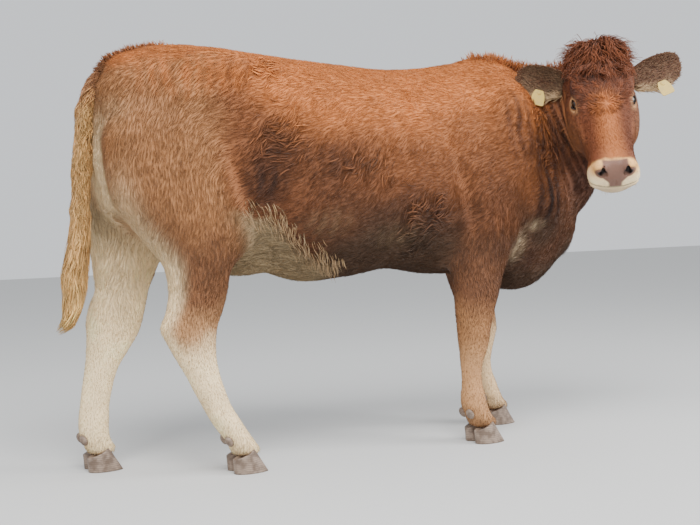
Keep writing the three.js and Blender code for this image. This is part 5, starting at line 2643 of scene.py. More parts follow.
@dataclass(frozen=True)
class Ear:
    """One ear: a closed cupped leaf of skin in its own frame, +Z to the tip and +Y out of the cup."""

    side: Side
    marks_and_painted_light: MarkingsAndPaintedLight
    length: float = 192.0
    width: float = 144.0
    thick: float = 7.0
    coat: float = 4.0
    cup: float = 90.0
    lean: float = 16.0
    root_width: float = 0.5
    root: tuple[float, float, float] = (-120.0, 106.0, -24.0)
    open: tuple[float, float, float] = (0.8, 0.1, 0.45)
    right_tip: tuple[float, float, float] = (-0.1, -0.95, 0.36)
    left_tip: tuple[float, float, float] = (-0.34, 0.93, 0.12)
    outer_code: str = "#542f1c"
    inner_code: str = "#5f4634"
    pale_code: str = "#b49873"
    cup_shade_code: str = "#533121"
    density: float = 0.09
    half: Size = Size(0.0, 0.2, 0.6, 2.2)  # over the usual half width of each side

    @property
    def low_edge(self) -> float:
        """Which way across the ear its lower edge lies."""
        _, axes = self.axes()
        return 1.0 if axes[2, 0] > 0 else -1.0

    def axes(self) -> tuple[Array, Array]:
        """The ear's root in the tables, and its own axes as columns.

        Returns:
            The root, then the axes.
        """
        flip = np.array([1.0, self.side.value, 1.0])
        tip = unit(np.array(self.right_tip if self.side is Side.RIGHT else self.left_tip))
        across = unit(np.cross(np.array(self.open) * flip, tip))
        axes = np.stack([across, np.cross(tip, across), tip], axis=1)
        return HEAD.leave(np.array(self.root) * flip), HEAD.turn @ axes

    def breadth(self, t: Array) -> Array:
        """Width along the ear as a share of its widest.

        Args:
            t: place from root to tip, 0 to 1.

        Returns:
            One share for each place.
        """
        body = self.root_width + (1 - self.root_width) * np.sin(np.minimum(t / 0.5, 1) * math.pi / 2)
        tip = np.sqrt(np.maximum(1 - (np.maximum(t - 0.5, 0) / 0.5) ** 2.2, 0))
        return body * tip * np.sqrt(1 - np.maximum(1 - t / 0.06, 0) ** 2)

    def leaf(self, across: Array, through: Array, t: Array) -> Array:
        """Points of the ear in the tables.

        Args:
            across: -1 to 1 over the ear's width.
            through: millimetres from the middle of its thickness, towards the cup.
            t: 0 at the root to 1 at the tip.

        Returns:
            One point for each.
        """
        share = self.breadth(t)
        bend = self.cup * (1 - 0.25 * t)
        angle = across * (self.width / 2 - self.coat) * share / bend
        shell = bend - through
        local = np.stack([shell * np.sin(angle), bend - shell * np.cos(angle) + self.lean * t * t,
                          t * (self.length - 2 * self.coat)], axis=-1)
        root, axes = self.axes()
        return local @ axes.T + root

    def skin(self, rings: int = 44, around: int = 56) -> tuple[Array, Array, Array]:
        """Vertices, triangles, and (across, through, t) of each vertex.

        Args:
            rings: rings from root to tip.
            around: points round each ring.

        Returns:
            Vertices, triangles, and each vertex's place on the ear.
        """
        t = (1 - np.cos(np.linspace(0.0, math.pi, rings))) / 2
        a = np.linspace(0, 2 * math.pi, around, endpoint=False)
        tt, aa = np.meshgrid(t, a, indexing="ij")
        across, through = np.cos(aa), np.sin(aa)
        half = self.thick / 2 * (0.5 + 0.5 * self.breadth(tt))
        grid = self.leaf(across, through * half, tt)
        points, faces = tube(grid)
        own = np.stack([across, through, tt], axis=-1).reshape(-1, 3)
        own = np.vstack([own, [0, 0, 0], [0, 0, 1]])
        return points, faces, own

    def colour(self, own: Array) -> Array:
        """Colours by place on the ear.

        Args:
            own: each vertex's place on the ear.

        Returns:
            Linear red, green and blue.
        """
        across, through, t = own.T
        base = np.tile(linear(self.outer_code), (len(own), 1))
        inner = step(-0.1, 0.25, through)
        # The left ear's cup takes the dark cup colour all over: painted shade on that ear.
        base = self.marks_and_painted_light.over(base, self.cup_shade_code if self.side is Side.LEFT else self.inner_code, inner)
        # Painted shade in the middle of the cup.
        deep = bump(across, 0.0, 0.55) * bump(t, 0.42, 0.40) * inner
        base = self.marks_and_painted_light.over(base, self.cup_shade_code, 0.8 * deep)
        rim = np.clip(step(0.70, 0.92, np.abs(across)) + step(0.8, 0.95, t), 0, 1)
        base = self.marks_and_painted_light.over(base, self.outer_code, 0.7 * rim * inner)
        hang = step(0.45, 0.9, -self.low_edge * across) * step(0.8, 0.4, t)
        return self.marks_and_painted_light.over(base, self.pale_code, 0.85 * hang * step(-0.4, 0.2, through))

    def locks(self, unwrap: Unwrap) -> Locks:
        """Hair of the ear: short on its back, long and pale in the cup and along the rim.

        Args:
            unwrap: the body's unwrap.

        Returns:
            The locks.
        """
        points, faces, own = self.skin()
        skin = Skin(points, faces, vertex_normals(points, faces))
        chosen, share, rng = skin.scatter(np.full(len(faces), self.density), Seed.EAR + self.side.value)
        place, at = skin.read(points, chosen, share), skin.read(own, chosen, share)
        normal = unit(skin.read(skin.normals, chosen, share))
        count = len(place)
        _, axes = self.axes()
        tip, cross = axes[:, 2], axes[:, 0]
        inner = at[:, 1] > 0.1
        fan = tip[None] + 0.35 * at[:, :1] * cross[None] + 0.2 * rng.standard_normal((count, 3))
        flow = unit(fan - normal * dot(fan, normal)[:, None])
        rim = step(0.55, 0.95, np.maximum(np.abs(at[:, 0]), at[:, 2]))
        hang = step(0.2, 0.9, -self.low_edge * at[:, 0]) * step(0.75, 0.4, at[:, 2])
        length = np.where(inner, 19.0, 11.0) * (1 - 0.35 * rim) + 24.0 * hang
        length = length + 2.5 * rng.standard_normal(count)
        length = np.clip(length * (1 - 0.35 * step(0.75, 1.0, at[:, 2])), 6.0, 52.0)
        lift = np.where(inner, 0.26, 0.14) + 0.05 * rng.standard_normal(count)
        bend = 0.45 * Noise(Seed.EAR_BEND).at(place, 14.0) + 0.15 * rng.standard_normal(count)
        aside = np.cross(normal, flow)
        line = [place - 1.0 * normal]
        for s in (0.5, 1.0):
            rise = length * lift * (s - 0.5 * s * s)
            ahead = place + flow * (length * s)[:, None]
            line.append(ahead + normal * rise[:, None] + aside * (bend * length * s * s)[:, None])
        half = self.half.draw(rng, count, np.where(inner, 1.2, 1.1))
        verts = Locks.weave(np.stack(line, axis=1), unit(aside), half, 0.9, (0.8, 1.0))
        colour = self.colour(at)
        colour = self.marks_and_painted_light.over(colour, self.pale_code, inner * 0.25 * rng.random(count))
        colours = colour * np.clip(1 + 0.14 * rng.standard_normal((count, 1)), 0.6, 1.4)
        down = np.array([0.75] * 3 + [1.0] * 3 + [1.15])
        colours = colours[:, None, :] * down[None, :, None]
        face = np.sign(at[:, 1] + 0.01)  # in the cup or behind it
        roots = unwrap.lay(f"ear_{self.side.word}", at[:, 2], at[:, 0] * 0.5 * face * 0.5 + 0.5)
        return Locks(verts, np.clip(colours, 0, 1), roots)


@dataclass(frozen=True)
class Tail:
    """The tail: a thin stem of skin, and long hair that hangs along it to the switch."""

    marks_and_painted_light: MarkingsAndPaintedLight
    form: Swept = field(default_factory=tail_form)
    stem: float = 0.62  # the stem's size as a share of the hair's outline at the dock
    stem_end: float = 0.78  # how far down the line the stem reaches
    # How many locks, from and to where along the line, shortest and longest, and stations.
    sets: tuple[tuple[int, float, float, float, float, int], ...] = (
        (5200, 0.06, 0.62, 55.0, 110.0, 5),
        (2300, 0.44, 0.78, 150.0, 280.0, 7),
    )
    half: Size = Size(2.0, 0.4, 1.0, 3.2)
    upper_code: str = "#ab7448"
    lower_code: str = "#c79a60"
    tip_code: str = "#dfb570"

    def ring(self, where: Array, angle: Array, share: Array) -> Array:
        """Points round the tail's line, at a share of its outline.

        Args:
            where: places along the line.
            angle: angles round the line.
            share: shares of its outline.

        Returns:
            Points, in millimetres.
        """
        flat = where.ravel()
        middle = self.form.line.at(flat)
        tangent = self.form.tangent(np.clip(flat, 0, self.form.length))
        side = unit(np.cross(np.broadcast_to(self.form.up, tangent.shape), tangent))
        upward = np.cross(tangent, side)
        shape = self.form.shape.at(np.clip(flat, 0, self.form.length))
        c, s = np.cos(angle.ravel()), np.sin(angle.ravel())
        rise = np.where(c > 0, shape[:, 0], shape[:, 1]) * c
        out = upward * rise[:, None] + side * (shape[:, 2] * s)[:, None]
        return (middle + out * share.ravel()[:, None]).reshape(*where.shape, 3)

    def thin(self, where: Array) -> Array:
        """The stem's share of the outline along the line.

        Args:
            where: places along the line.

        Returns:
            One share for each place.
        """
        s = where / self.form.length
        return self.stem * (1 - 0.45 * step(0.2, self.stem_end, s)) * np.sqrt(
            np.maximum(1 - np.maximum((s - 0.7 * self.stem_end) / (0.3 * self.stem_end), 0) ** 2, 0.02))

    def skin(self, rings: int = 70, around: int = 28) -> tuple[Array, Array]:
        """The stem's vertices and triangles.

        Args:
            rings: rings along the line.
            around: points round each ring.

        Returns:
            Vertices and triangles.
        """
        where = np.linspace(8.0, self.form.length * self.stem_end, rings)
        angle = -np.linspace(0, 2 * math.pi, around, endpoint=False)
        ww, aa = np.meshgrid(where, angle, indexing="ij")
        return tube(self.ring(ww, aa, self.thin(ww)))

    def colour(self, points: Array) -> Array:
        """Colours by height.

        Args:
            points: places, in millimetres.

        Returns:
            Linear red, green and blue.
        """
        base = np.tile(linear(self.upper_code), (len(points), 1))
        base = self.marks_and_painted_light.over(base, self.lower_code, step(1225.0, 1140.0, points[:, 2]))
        return self.marks_and_painted_light.over(base, self.tip_code, 0.8 * step(900.0, 620.0, points[:, 2]))

    def locks(self, unwrap: Unwrap) -> list[Locks]:
        """Hair of the tail, in two sets: along the stem and the switch.

        Args:
            unwrap: the body's unwrap.

        Returns:
            The two sets of locks.
        """
        rng = np.random.default_rng(Seed.TAIL)
        wave = Noise(Seed.TAIL_WAVE)
        out = []
        end = self.form.length
        for count, low, high, least, most, stations in self.sets:
            where = end * rng.uniform(low, high, count)
            angle = rng.uniform(0, 2 * math.pi, count)
            wanted = rng.uniform(least, most, count)
            length = np.minimum(wanted, (end - where) * rng.uniform(0.82, 1.0, count))
            reach = rng.uniform(0.55, 1.12, count)
            phase = rng.uniform(0, 2 * math.pi, count)
            line = []
            for k in range(stations):
                t = k / (stations - 1)
                at = where + length * t
                share = self.thin(where) * 0.93 * (1 - t) ** 1.5 + reach * (1 - (1 - t) ** 1.5)
                turn = angle + 0.35 * np.sin(phase + t * 5.0) * t
                spot = self.ring(at, turn, share * (1 - 0.1 * t))
                sway = np.stack([wave.at(spot, 30.0), wave.at(spot + 400.0, 30.0), 0 * t * at], axis=1)
                line.append(spot + 13.0 * t * (1 - 0.4 * t) * sway)
            lines = np.stack(line, axis=1)
            across = unit(np.cross(lines[:, -1] - lines[:, 0], lines[:, 1] - self.form.line.at(where)) + 1e-6)
            half = self.half.draw(rng, count)
            taper = [0.8] + [1.0] * (stations - 3) + [0.62]
            verts = Locks.weave(lines, across, half, 0.8, taper)
            colour = self.colour(lines[:, 0]) * np.clip(1 + 0.2 * rng.standard_normal((count, 1)), 0.5, 1.5)
            down = np.repeat(np.linspace(0.72, 1.2, stations), 3)[: verts.shape[1]]
            colours = np.clip(colour[:, None, :] * down[None, :, None], 0, 1)
            out.append(Locks(verts, colours, unwrap.lay("tail", where / end, angle / (2 * math.pi))))
        return out


@dataclass(frozen=True)
class ClawPlan:
    """A horn claw on the ground, and the little dewclaws above it."""

    toe: float = 66.0
    heel: float = 42.0
    top: float = 74.0
    heel_top: float = 44.0
    outer: float = 29.0
    inner: float = 23.0
    lean: float = 0.62
    heel_lean: float = 0.08
    spread: float = 31.0
    dew_half: tuple[float, float, float] = (12.0, 15.0, 18.0)
    dew_spread: float = 24.0
    dew_height: float = 99.0
    dew_back: float = 0.92
    dew_turn: float = 28.0

    def claw(self, leg: Leg, side: int) -> tuple[Array, Array]:
        """One claw's vertices and triangles.

        Args:
            leg: which leg.
            side: -1 for the claw on the right, 1 for the left.

        Returns:
            Vertices and triangles.
        """
        a = np.linspace(0, 2 * math.pi, 44, endpoint=False)
        levels = np.concatenate([[0.0, 0.0], np.linspace(0.015, 1.0, 18), [1.0, 1.0]])
        shrink = np.concatenate([[0.55, 0.97], np.ones(18), [0.8, 0.35]])
        ll, aa = np.meshgrid(levels, a, indexing="ij")
        ahead = np.sign(np.cos(aa)) * np.abs(np.cos(aa)) ** 0.92
        beside = np.sign(np.sin(aa)) * np.abs(np.sin(aa)) ** 0.86
        top = self.heel_top + (self.top - self.heel_top) * (1 + ahead) / 2
        z = ll * top
        reach = np.where(ahead > 0, self.toe - z * self.lean, self.heel + z * self.heel_lean)
        taper = 1 - 0.28 * np.maximum(ahead, 0) ** 2 - 0.1 * np.maximum(-ahead, 0) ** 2
        width = np.where(beside * side > 0, self.outer, self.inner) * (1 - 0.1 * ll)
        size = shrink[:, None]
        grid = np.stack([ahead * reach * size, beside * width * taper * size, z], axis=-1)
        x, y = FEET[leg]
        return tube(grid + np.array([x, y + side * self.spread, 0.0]))

    def dewclaw(self, leg: Leg, side: int) -> tuple[Array, Array]:
        """One dewclaw's vertices and triangles.

        Args:
            leg: which leg.
            side: -1 for the one on the right, 1 for the left.

        Returns:
            Vertices and triangles.
        """
        _, middle_x, _, back, y, _ = next(row for row in LEG_ROWS[leg] if row[0] == 95)
        a = np.linspace(0, 2 * math.pi, 24, endpoint=False)
        p = np.linspace(math.pi - 0.02, 0.02, 16)
        pp, aa = np.meshgrid(p, a, indexing="ij")
        unit_ball = np.stack([np.sin(pp) * np.cos(aa), np.sin(pp) * np.sin(aa), np.cos(pp)], axis=-1)
        turn = np.array(Matrix.Rotation(-math.radians(self.dew_turn), 3, "Y"))
        grid = unit_ball * np.array(self.dew_half) @ turn.T
        middle = [middle_x - back * self.dew_back, y + side * self.dew_spread, self.dew_height]
        return tube(grid + np.array(middle))


@dataclass(frozen=True)
class EyeBall:
    """The eyeball, with its clear cornea standing a little forward."""

    plan: EyePlan = EYE
    iris: float = 0.82  # radius of the iris, in radians of the ball
    bulge: float = 1.6

    def ball(self, side: Side) -> tuple[Array, Array, Array]:
        """Vertices, triangles and the place of each vertex across the front, in shares of the iris.

        Args:
            side: which side of the cow.

        Returns:
            The vertices, the triangles, and those places.
        """
        middle, gaze, long, upward = self.plan.axes(side)
        p = np.linspace(0.0, math.pi, 56)
        a = np.linspace(0, 2 * math.pi, 64, endpoint=False)
        pp, aa = np.meshgrid(p, a, indexing="ij")
        radius = self.plan.radius + self.bulge * np.exp(-((pp / 0.55) ** 4))
        flat = np.stack([np.sin(pp) * np.cos(aa), np.sin(pp) * np.sin(aa)], axis=-1)
        turn = 1.0 if side is Side.LEFT else -1.0
        out = flat[..., :1] * long + flat[..., 1:] * upward * turn + np.cos(pp)[..., None] * gaze
        head = middle + out * radius[..., None]
        points, faces = tube(HEAD.leave(head.reshape(-1, 3)).reshape(*head.shape))
        own = (flat * pp[..., None] / np.maximum(np.sin(pp), 1e-3)[..., None] / self.iris).reshape(-1, 2)
        own[:, 1] *= turn
        back = np.full((1, 2), math.pi / self.iris)
        return points, faces, np.vstack([own, np.zeros((1, 2)), back])


@dataclass(frozen=True)
class TagPlan:
    """A plain ear tag: a plate that hangs from a stud, and a round button behind the ear."""

    width: float = 46.0
    height: float = 46.0
    thick: float = 3.0
    corner: float = 9.0
    shoulder: float = 14.0
    neck: float = 10.0
    slope: float = 12.0
    stud: float = 5.0
    button: float = 13.0
    along: float = 96.0
    lift: float = 4.0
    right: float = 0.62
    left: float = 0.75
    ear_thick: float = 14.0

    def frame(self, ear: Ear) -> tuple[Array, Array]:
        """The tag's middle and axes (across, out of the cup, upward) in the tables.

        Args:
            ear: the ear that it hangs in.

        Returns:
            The middle, then the axes as columns.
        """
        bend = ear.cup * (1 - 0.25 * self.along / ear.length)
        side = ear.side.value
        angle = -side * (self.right if ear.side is Side.RIGHT else self.left)
        up = np.array([math.cos(angle), math.sin(angle), 0.0]) * side
        inward = np.array([-math.sin(angle), math.cos(angle), 0.0])
        place = np.array([bend * math.sin(angle), bend * (1 - math.cos(angle)) + self.lift, self.along])
        root, axes = ear.axes()
        return axes @ place + root, axes @ np.stack([np.cross(inward, up), inward, up], axis=1)

    def outline(self) -> Array:
        """The plate's outline, with rounded corners, turning left.

        Returns:
            Points of the outline.
        """
        w, low = self.width / 2, -self.height
        corners = [((-self.shoulder, self.neck), 5.0), ((-w, -self.slope), 6.0), ((-w, low), self.corner),
                   ((w, low), self.corner), ((w, -self.slope), 6.0), ((self.shoulder, self.neck), 5.0)]
        spots = [np.array(c) for c, _ in corners]
        out = []
        for i, (_, r) in enumerate(corners):
            here, before, after = spots[i], spots[i - 1], spots[(i + 1) % len(spots)]
            a, b = here + unit(before - here) * r, here + unit(after - here) * r
            t = np.linspace(0, 1, 7)[:, None]
            out.append((1 - t) ** 2 * a + 2 * t * (1 - t) * here + t * t * b)
        return np.vstack(out)[::-1]

    def forms(self) -> list[tuple[Array, Array]]:
        """Plate, stud and button, in the tag's own frame.

        Returns:
            Vertices and triangles of each.
        """
        face = self.ear_thick / 2 + 8.0
        edge = self.outline()
        middle = edge.mean(axis=0)
        rings = []
        edges = ((0.0, 1.0), (0.0, 0.25), (0.4, 0.0),
                 (self.thick - 0.4, 0.0), (self.thick, 0.25), (self.thick, 1.0))
        for depth, inset in edges:
            shrink = 1 - 2 * inset / self.width
            spot = middle + (edge - middle) * shrink
            rings.append(np.stack([spot[:, 0], np.full(len(spot), face + depth), spot[:, 1]], axis=1))
        plate = tube(np.stack(rings))
        back = -self.ear_thick / 2 - 3.0 - self.thick
        return [plate, self.disc(self.stud, back, face + self.thick + 2.5, 0.8),
                self.disc(self.button, back, back + self.thick, 0.7),
                self.disc(self.stud + 3.0, face + self.thick - 0.5, face + self.thick + 1.6, 0.8)]

    def disc(self, radius: float, low: float, high: float, round_off: float) -> tuple[Array, Array]:
        """A short round bar along +Y with eased edges.

        Args:
            radius: its radius.
            low: where it begins.
            high: where it ends.
            round_off: how far its edges are eased.

        Returns:
            Vertices and triangles.
        """
        a = np.linspace(0, -2 * math.pi, 40, endpoint=False)
        rings = []
        for y, r in ((low, 0.3 * radius), (low, radius - round_off), (low + round_off, radius),
                     (high - round_off, radius), (high, radius - round_off), (high, 0.3 * radius)):
            rings.append(np.stack([r * np.cos(a), np.full(len(a), y), r * np.sin(a)], axis=1))
        return tube(np.stack(rings))


# ---------------------------------------------------------------- finishes of horn, eye and tag


@dataclass(frozen=True)
class HornFinish:
    """Grey-brown horn with rings of growth."""

    name: str = "horn"

    def make(self) -> bpy.types.Material:
        """Makes the material.

        Returns:
            The material.
        """
        material, tree, shader = begin(self.name)
        place = node(tree, "ShaderNodeTexCoord", {"pick": "Object"})
        coarse = node(tree, "ShaderNodeTexNoise", {"pick": "Fac"}, Vector=place, Scale=42.0, Detail=4.0)
        upright = {"bands_direction": "Z", "pick": "Fac"}
        rings = node(tree, "ShaderNodeTexWave", upright, Vector=place, Scale=52.0, Distortion=3.0)
        colour = mix_colour(tree, coarse.between(0.35, 0.65), linear("#6d5a4c"), linear("#9a8676"))
        colour = mix_colour(tree, rings * 0.35, colour, linear("#4d3d33"))
        ridges = node(
            tree, "ShaderNodeBump", {"pick": "Normal"},
            Height=rings * 0.6 + coarse, Strength=0.35, Distance=0.0012,
        )
        put(tree, shader, Base_Color=colour, Roughness=coarse * 0.25 + 0.42, Normal=ridges)
        return material


@dataclass(frozen=True)
class EyeFinish:
    """A dark brown iris with a wide dark pupil, under a wet clear coat."""

    name: str = "eye"

    def make(self) -> bpy.types.Material:
        """Makes the material.

        Returns:
            The material.
        """
        material, tree, shader = begin(self.name)
        spot = node(tree, "ShaderNodeAttribute", {"attribute_name": "iris_place", "pick": "Vector"})
        x = node(tree, "ShaderNodeSeparateXYZ", {"pick": "X"}, Vector=spot)
        y = node(tree, "ShaderNodeSeparateXYZ", {"pick": "Y"}, Vector=spot)
        ring = (x * x + y * y) ** 0.5
        pupil = (x * x / 0.42 + y * y / 0.16) ** 0.5
        streak = node(tree, "ShaderNodeTexNoise", {"pick": "Fac"}, Vector=spot, Scale=9.0, Detail=5.0)
        iris = mix_colour(tree, streak.between(0.3, 0.7), linear("#150c07"), linear("#3a2415"))
        colour = mix_colour(tree, pupil.between(1.08, 0.94), iris, linear("#050404"))
        colour = mix_colour(tree, ring.between(0.86, 1.02), colour, linear("#0d0806"))
        colour = mix_colour(tree, ring.between(1.10, 1.5), colour, linear("#4a352c"))
        put(tree, shader, Base_Color=colour, Roughness=0.18, Coat_Weight=1.0, Coat_Roughness=0.03)
        return material


@dataclass(frozen=True)
class TagFinish:
    """Plain soft plastic, a little weathered."""

    name: str = "tag"
    code: str = "#c9ab55"

    def make(self) -> bpy.types.Material:
        """Makes the material.

        Returns:
            The material.
        """
        material, tree, shader = begin(self.name)
        place = node(tree, "ShaderNodeTexCoord", {"pick": "Object"})
        dust = node(tree, "ShaderNodeTexNoise", {"pick": "Fac"}, Vector=place, Scale=60.0, Detail=6.0)
        colour = mix_colour(tree, dust.between(0.45, 0.75) * 0.5, linear(self.code), linear("#a5916a"))
        put(tree, shader, Base_Color=colour, Roughness=dust * 0.2 + 0.35)
        return material


@dataclass(frozen=True)
class FineHairFinish:
    """Stiff single hairs: lashes and whiskers."""

    name: str
    code: str

    def make(self) -> bpy.types.Material:
        """Makes the material.

        Returns:
            The material.
        """
        material, tree, shader = begin(self.name)
        place = node(tree, "ShaderNodeTexCoord", {"pick": "Object"})
        fine = node(tree, "ShaderNodeTexNoise", {"pick": "Fac"}, Vector=place, Scale=300.0)
        dark = tuple(float(v) * 0.6 for v in linear(self.code))
        put(tree, shader, Base_Color=mix_colour(tree, fine, linear(self.code), dark), Roughness=0.5)
        return material


# ---------------------------------------------------------------- single stiff hairs by Geometry Nodes


@dataclass(frozen=True)
class StiffHairs:
    """Single tapering hairs, one on each point of a mesh, set along the point's own way."""

    thickness: float = 0.0003
    sides: int = 5
    spread: float = 0.25
    seed: int = 7

    def tree(self) -> bpy.types.GeometryNodeTree:
        """Builds the node tree, with named inputs.

        Returns:
            The tree.
        """
        tree = bpy.data.node_groups.new("stiff hairs", "GeometryNodeTree")
        for name, kind in (("Geometry", "NodeSocketGeometry"), ("Thickness", "NodeSocketFloat"),
                           ("Spread", "NodeSocketFloat"), ("Seed", "NodeSocketInt"),
                           ("Material", "NodeSocketMaterial")):
            tree.interface.new_socket(name, in_out="INPUT", socket_type=kind)
        tree.interface.new_socket("Geometry", in_out="OUTPUT", socket_type="NodeSocketGeometry")
        entry = tree.nodes.new("NodeGroupInput")
        geometry, thickness, spread, seed, material = (Socket(tree, entry.outputs[i]) for i in range(5))
        cone = node(tree, "GeometryNodeMeshCone", {"pick": "Mesh"}, Vertices=self.sides, Depth=1.0,
                    **{"Radius Top": 0.0, "Radius Bottom": thickness})
        way, reach = (
            node(tree, "GeometryNodeInputNamedAttribute", {"data_type": kind, "pick": "Attribute"}, Name=name)
            for name, kind in (("way", "FLOAT_VECTOR"), ("reach", "FLOAT"))
        )
        vary = node(tree, "FunctionNodeRandomValue", {"data_type": "FLOAT", "pick": 1}, None, None,
                    1.0 - spread, 1.0 + spread, None, None, None, None, seed)
        size = node(tree, "ShaderNodeCombineXYZ", {}, 1.0, 1.0, reach * vary)
        turn = node(tree, "FunctionNodeAlignRotationToVector", {"axis": "Z", "pick": "Rotation"}, Vector=way)
        placed = node(tree, "GeometryNodeInstanceOnPoints", {"pick": "Instances"}, Points=geometry,
                      Instance=cone, Rotation=turn, Scale=size)
        real = node(tree, "GeometryNodeRealizeInstances", {"pick": "Geometry"}, Geometry=placed)
        dressed = node(
            tree, "GeometryNodeSetMaterial", {"pick": "Geometry"}, Geometry=real, Material=material
        )
        out = tree.nodes.new("NodeGroupOutput")
        tree.links.new(dressed.source, out.inputs[0])
        return tree

    def grown(
        self, name: str, roots: Array, ways: Array, lengths: Array, finish: bpy.types.Material
    ) -> bpy.types.Mesh:
        """Grows the hairs.

        Args:
            name: the new mesh's name.
            roots: where they stand, in the frame.
            ways: which way each points.
            lengths: their lengths, in metres.
            finish: their material.

        Returns:
            One mesh of all the hairs.
        """
        base = bpy.data.meshes.new(f"{name}_roots")
        base.from_pydata([tuple(map(float, root)) for root in roots], [], [])
        set_vector(base, ways, "way")
        set_value(base, lengths, "reach")
        holder = bpy.data.objects.new(f"{name}_holder", base)
        bpy.context.scene.collection.objects.link(holder)
        tree = self.tree()
        modifier = holder.modifiers.new("hairs", "NODES")
        modifier.node_group = tree
        values = {"Thickness": self.thickness, "Spread": self.spread, "Seed": self.seed, "Material": finish}
        for item in tree.interface.items_tree:
            if item.item_type == "SOCKET" and item.in_out == "INPUT" and item.name in values:
                modifier[item.identifier] = values[item.name]
        graph = bpy.context.evaluated_depsgraph_get()
        mesh = bpy.data.meshes.new_from_object(holder.evaluated_get(graph), depsgraph=graph)
        mesh.name = name
        mesh.materials.clear()
        bpy.data.objects.remove(holder)
        return mesh


# ---------------------------------------------------------------- the whole cow


def write_size(stage: str, box: Any, sizes: dict[str, Any]) -> None:
    """Args:
        stage: the box's name.
        box: its two corners.
        sizes: the boxes so far.
    """
    sizes[stage] = [[float(v) for v in corner] for corner in box]


def joined(parts: Sequence[tuple[Array, Array]]) -> tuple[Array, Array]:
    """Several meshes as one.

    Args:
        parts: vertices and triangles of each mesh.

    Returns:
        All their vertices and triangles.
    """
    points, faces, start = [], [], 0
    for p, f in parts:
        points.append(p)
        faces.append(f + start)
        start += len(p)
    return np.vstack(points), np.vstack(faces)


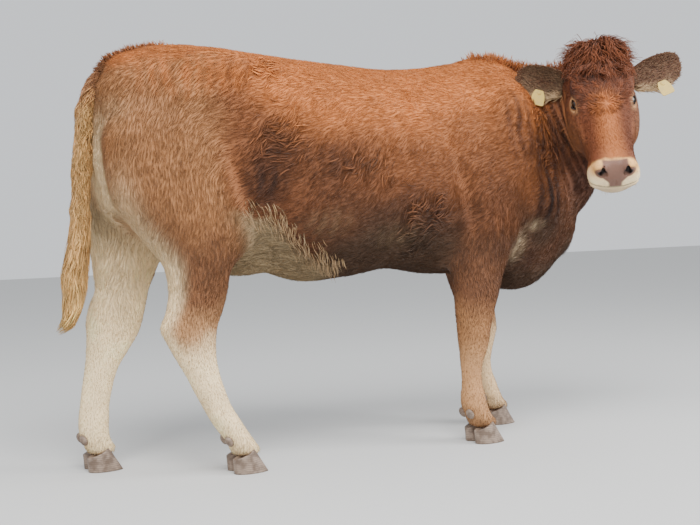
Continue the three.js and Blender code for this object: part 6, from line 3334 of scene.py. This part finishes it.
@dataclass
class Cow:
    """All the cow's pieces."""

    body: Body = field(default_factory=Body)
    claws: ClawPlan = field(default_factory=ClawPlan)
    eyeball: EyeBall = field(default_factory=EyeBall)
    tag: TagPlan = field(default_factory=TagPlan)

    def __post_init__(self) -> None:
        """Sets out the markings and everything that wears them."""
        self.marks_and_painted_light = MarkingsAndPaintedLight(self.body)
        self.lie = CoatLie(self.body)
        self.unwrap = Unwrap(self.body)
        self.tail = Tail(self.marks_and_painted_light)
        self.ears = {side: Ear(side, self.marks_and_painted_light) for side in Side}
        self.hair = HairFinish("coat hair").make()

    def skin(self) -> Skin:
        """Builds the skin with its ears and tail.

        Returns:
            The body's part of it, for the hair to grow on.
        """
        low, high = np.array([-900.0, -545.0, 10.0]), np.array([1040.0, 330.0, 1400.0])
        mesher = SkinMesher(self.body.distance, low, high)
        points, faces = mesher.build(skin_target)
        normals = vertex_normals(points, faces)
        at_head = HEAD.enter(points)
        pad, dark = self.marks_and_painted_light.bare(at_head)
        colours = self.marks_and_painted_light.colour(points, normals)
        colours = self.marks_and_painted_light.over(colours, self.marks_and_painted_light.pad, pad)
        # Very dark on the lids, and painted shade inside the nostrils and along the lips.
        colours = self.marks_and_painted_light.over(colours, "#1c1210", dark)
        parts, shades = [(points, faces)], [colours]
        for ear in self.ears.values():
            p, f, own = ear.skin()
            parts.append((p, f))
            shades.append(ear.colour(own))
        p, f = self.tail.skin()
        parts.append((p, f))
        shades.append(self.tail.colour(p))
        whole, triangles = joined(parts)
        mesh = make_mesh("skin", to_frame(whole), triangles)
        set_colour(mesh, np.clip(np.vstack(shades), 0, 1))
        bare = np.zeros(len(whole))
        bare[: len(points)] = np.maximum(pad, dark)
        set_value(mesh, bare, "bare_skin")
        flesh = [n for n in NODES if not n.startswith(("claw", "dewclaw", "eye", "ear_tag"))]
        show("skin", mesh, SkinFinish("skin").make(), "coat_chestnut", *flesh)
        return Skin(points, faces, normals)

    def coat(self, skin: Skin) -> None:
        """Grows the hair.

        Args:
            skin: the body's skin.
        """
        coat = Coat(self.body, self.marks_and_painted_light, self.lie, self.unwrap, self.hair)
        slots = {"body": "coat_chestnut", "waves": "coat_chestnut", "legs": "coat_tan", "face": "coat_red"}
        for name, locks in coat.build(skin):
            coat.pieces(name, locks, slots[name])
        coat.pieces("fringe", coat.fringe(skin), "coat_pale")
        tuft = Forelock(coat)
        for name, kind in (("poll", tuft.poll), ("curls", tuft.curls), ("crest", tuft.crest)):
            coat.pieces(name, kind(skin), "coat_red")
        for side, ear in self.ears.items():
            coat.pieces(f"ear_{side.word}_1", ear.locks(self.unwrap), "ear_hair")
        for n, locks in enumerate(self.tail.locks(self.unwrap)):
            coat.pieces(f"tail_set_{n + 1}", locks, "tail_hair")

    def lashes(self) -> None:
        """Lashes of both eyes, and the whiskers of the lips and chin."""
        rng = np.random.default_rng(Seed.LASHES)
        hairs = StiffHairs()
        dark = FineHairFinish("lashes", "#2a1a12").make()
        for side in Side:
            middle, gaze, long, upward = EYE.axes(side)
            t = np.linspace(-0.88, 0.88, 32)
            x, y = EYE.half_length * t, EYE.upper * (1 - t**2) - 0.6
            z = np.sqrt((EYE.radius + EYE.lid) ** 2 - x**2 - y**2) - 0.8
            roots = middle + x[:, None] * long + y[:, None] * upward + z[:, None] * gaze
            ways = gaze + 0.35 * upward + 0.7 * t[:, None] * long
            ways = unit(ways + 0.12 * rng.standard_normal((len(t), 3)))
            name = f"lashes_{side.word}"
            mesh = hairs.grown(name, to_frame(HEAD.leave(roots)), HEAD.swing(ways), 0.011 + 0 * t, dark)
            show(name, mesh, dark, "eye")
        pale = FineHairFinish("whiskers", "#cbb596").make()
        count = 90
        angle = rng.uniform(-1.0, 1.0, count)
        x = rng.uniform(215.0, 318.0, count)
        guess = np.stack([x, 76.0 * np.sin(angle * 2.2), -92.0 - 42.0 * np.cos(angle * 1.6)], axis=1)
        spots = settle(self.body.distance, HEAD.leave(guess), 8)
        here = self.body.distance(spots)
        out = unit(slope_of(self.body.distance, spots, here))
        ways = unit(out + HEAD.swing(np.array([0.25, 0.0, -0.45])) + 0.2 * rng.standard_normal((count, 3)))
        lengths = MM * rng.uniform(7.0, 17.0, count)
        mesh = hairs.grown("whiskers", to_frame(spots - 0.5 * out), ways, lengths, pale)
        show("whiskers", mesh, pale, "coat_pale")

    def eyes(self) -> None:
        """Both eyes."""
        finish = EyeFinish().make()
        for side in Side:
            points, faces, own = self.eyeball.ball(side)
            mesh = make_mesh(f"eyeball_{side.word}", to_frame(points), faces)
            set_vector(mesh, np.column_stack([own, np.zeros(len(own))]), "iris_place")
            show(f"eyeball_{side.word}", mesh, finish, "eye", f"eye_{side.word}")

    def feet(self) -> None:
        """Claws and dewclaws."""
        finish = HornFinish().make()
        for leg in Leg:
            for side in (-1, 1):
                where = "outer" if side * FEET[leg][1] > 0 else "inner"
                for kind, maker in (("claw", self.claws.claw), ("dewclaw", self.claws.dewclaw)):
                    points, faces = maker(leg, side)
                    name = f"{kind}_{leg.value}_{where}"
                    mesh = make_mesh(f"horn_{name}", to_frame(points), faces)
                    show(f"horn_{name}", mesh, finish, "horn", name)

    def tags(self) -> None:
        """Both ear tags."""
        finish = TagFinish().make()
        for side, ear in self.ears.items():
            place, axes = self.tag.frame(ear)
            points, faces = joined(self.tag.forms())
            mesh = make_mesh(f"tag_{side.word}", to_frame(points @ axes.T + place), faces, smooth=False)
            show(f"tag_{side.word}", mesh, finish, "tag", f"ear_tag_{side.word}")


NODES = list(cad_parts)


def main() -> None:
    """Builds the cow, its stage and its viewpoint."""
    logging.basicConfig(level=logging.INFO)
    sizes: dict[str, Any] = {}
    write_size("cad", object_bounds(), sizes)
    cow = Cow()
    cow.coat(cow.skin())
    cow.eyes()
    cow.lashes()
    cow.feet()
    cow.tags()
    Viewpoint().build()
    Studio().build()
    write_size("visual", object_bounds(), sizes)


if __name__ == "__main__":
    main()
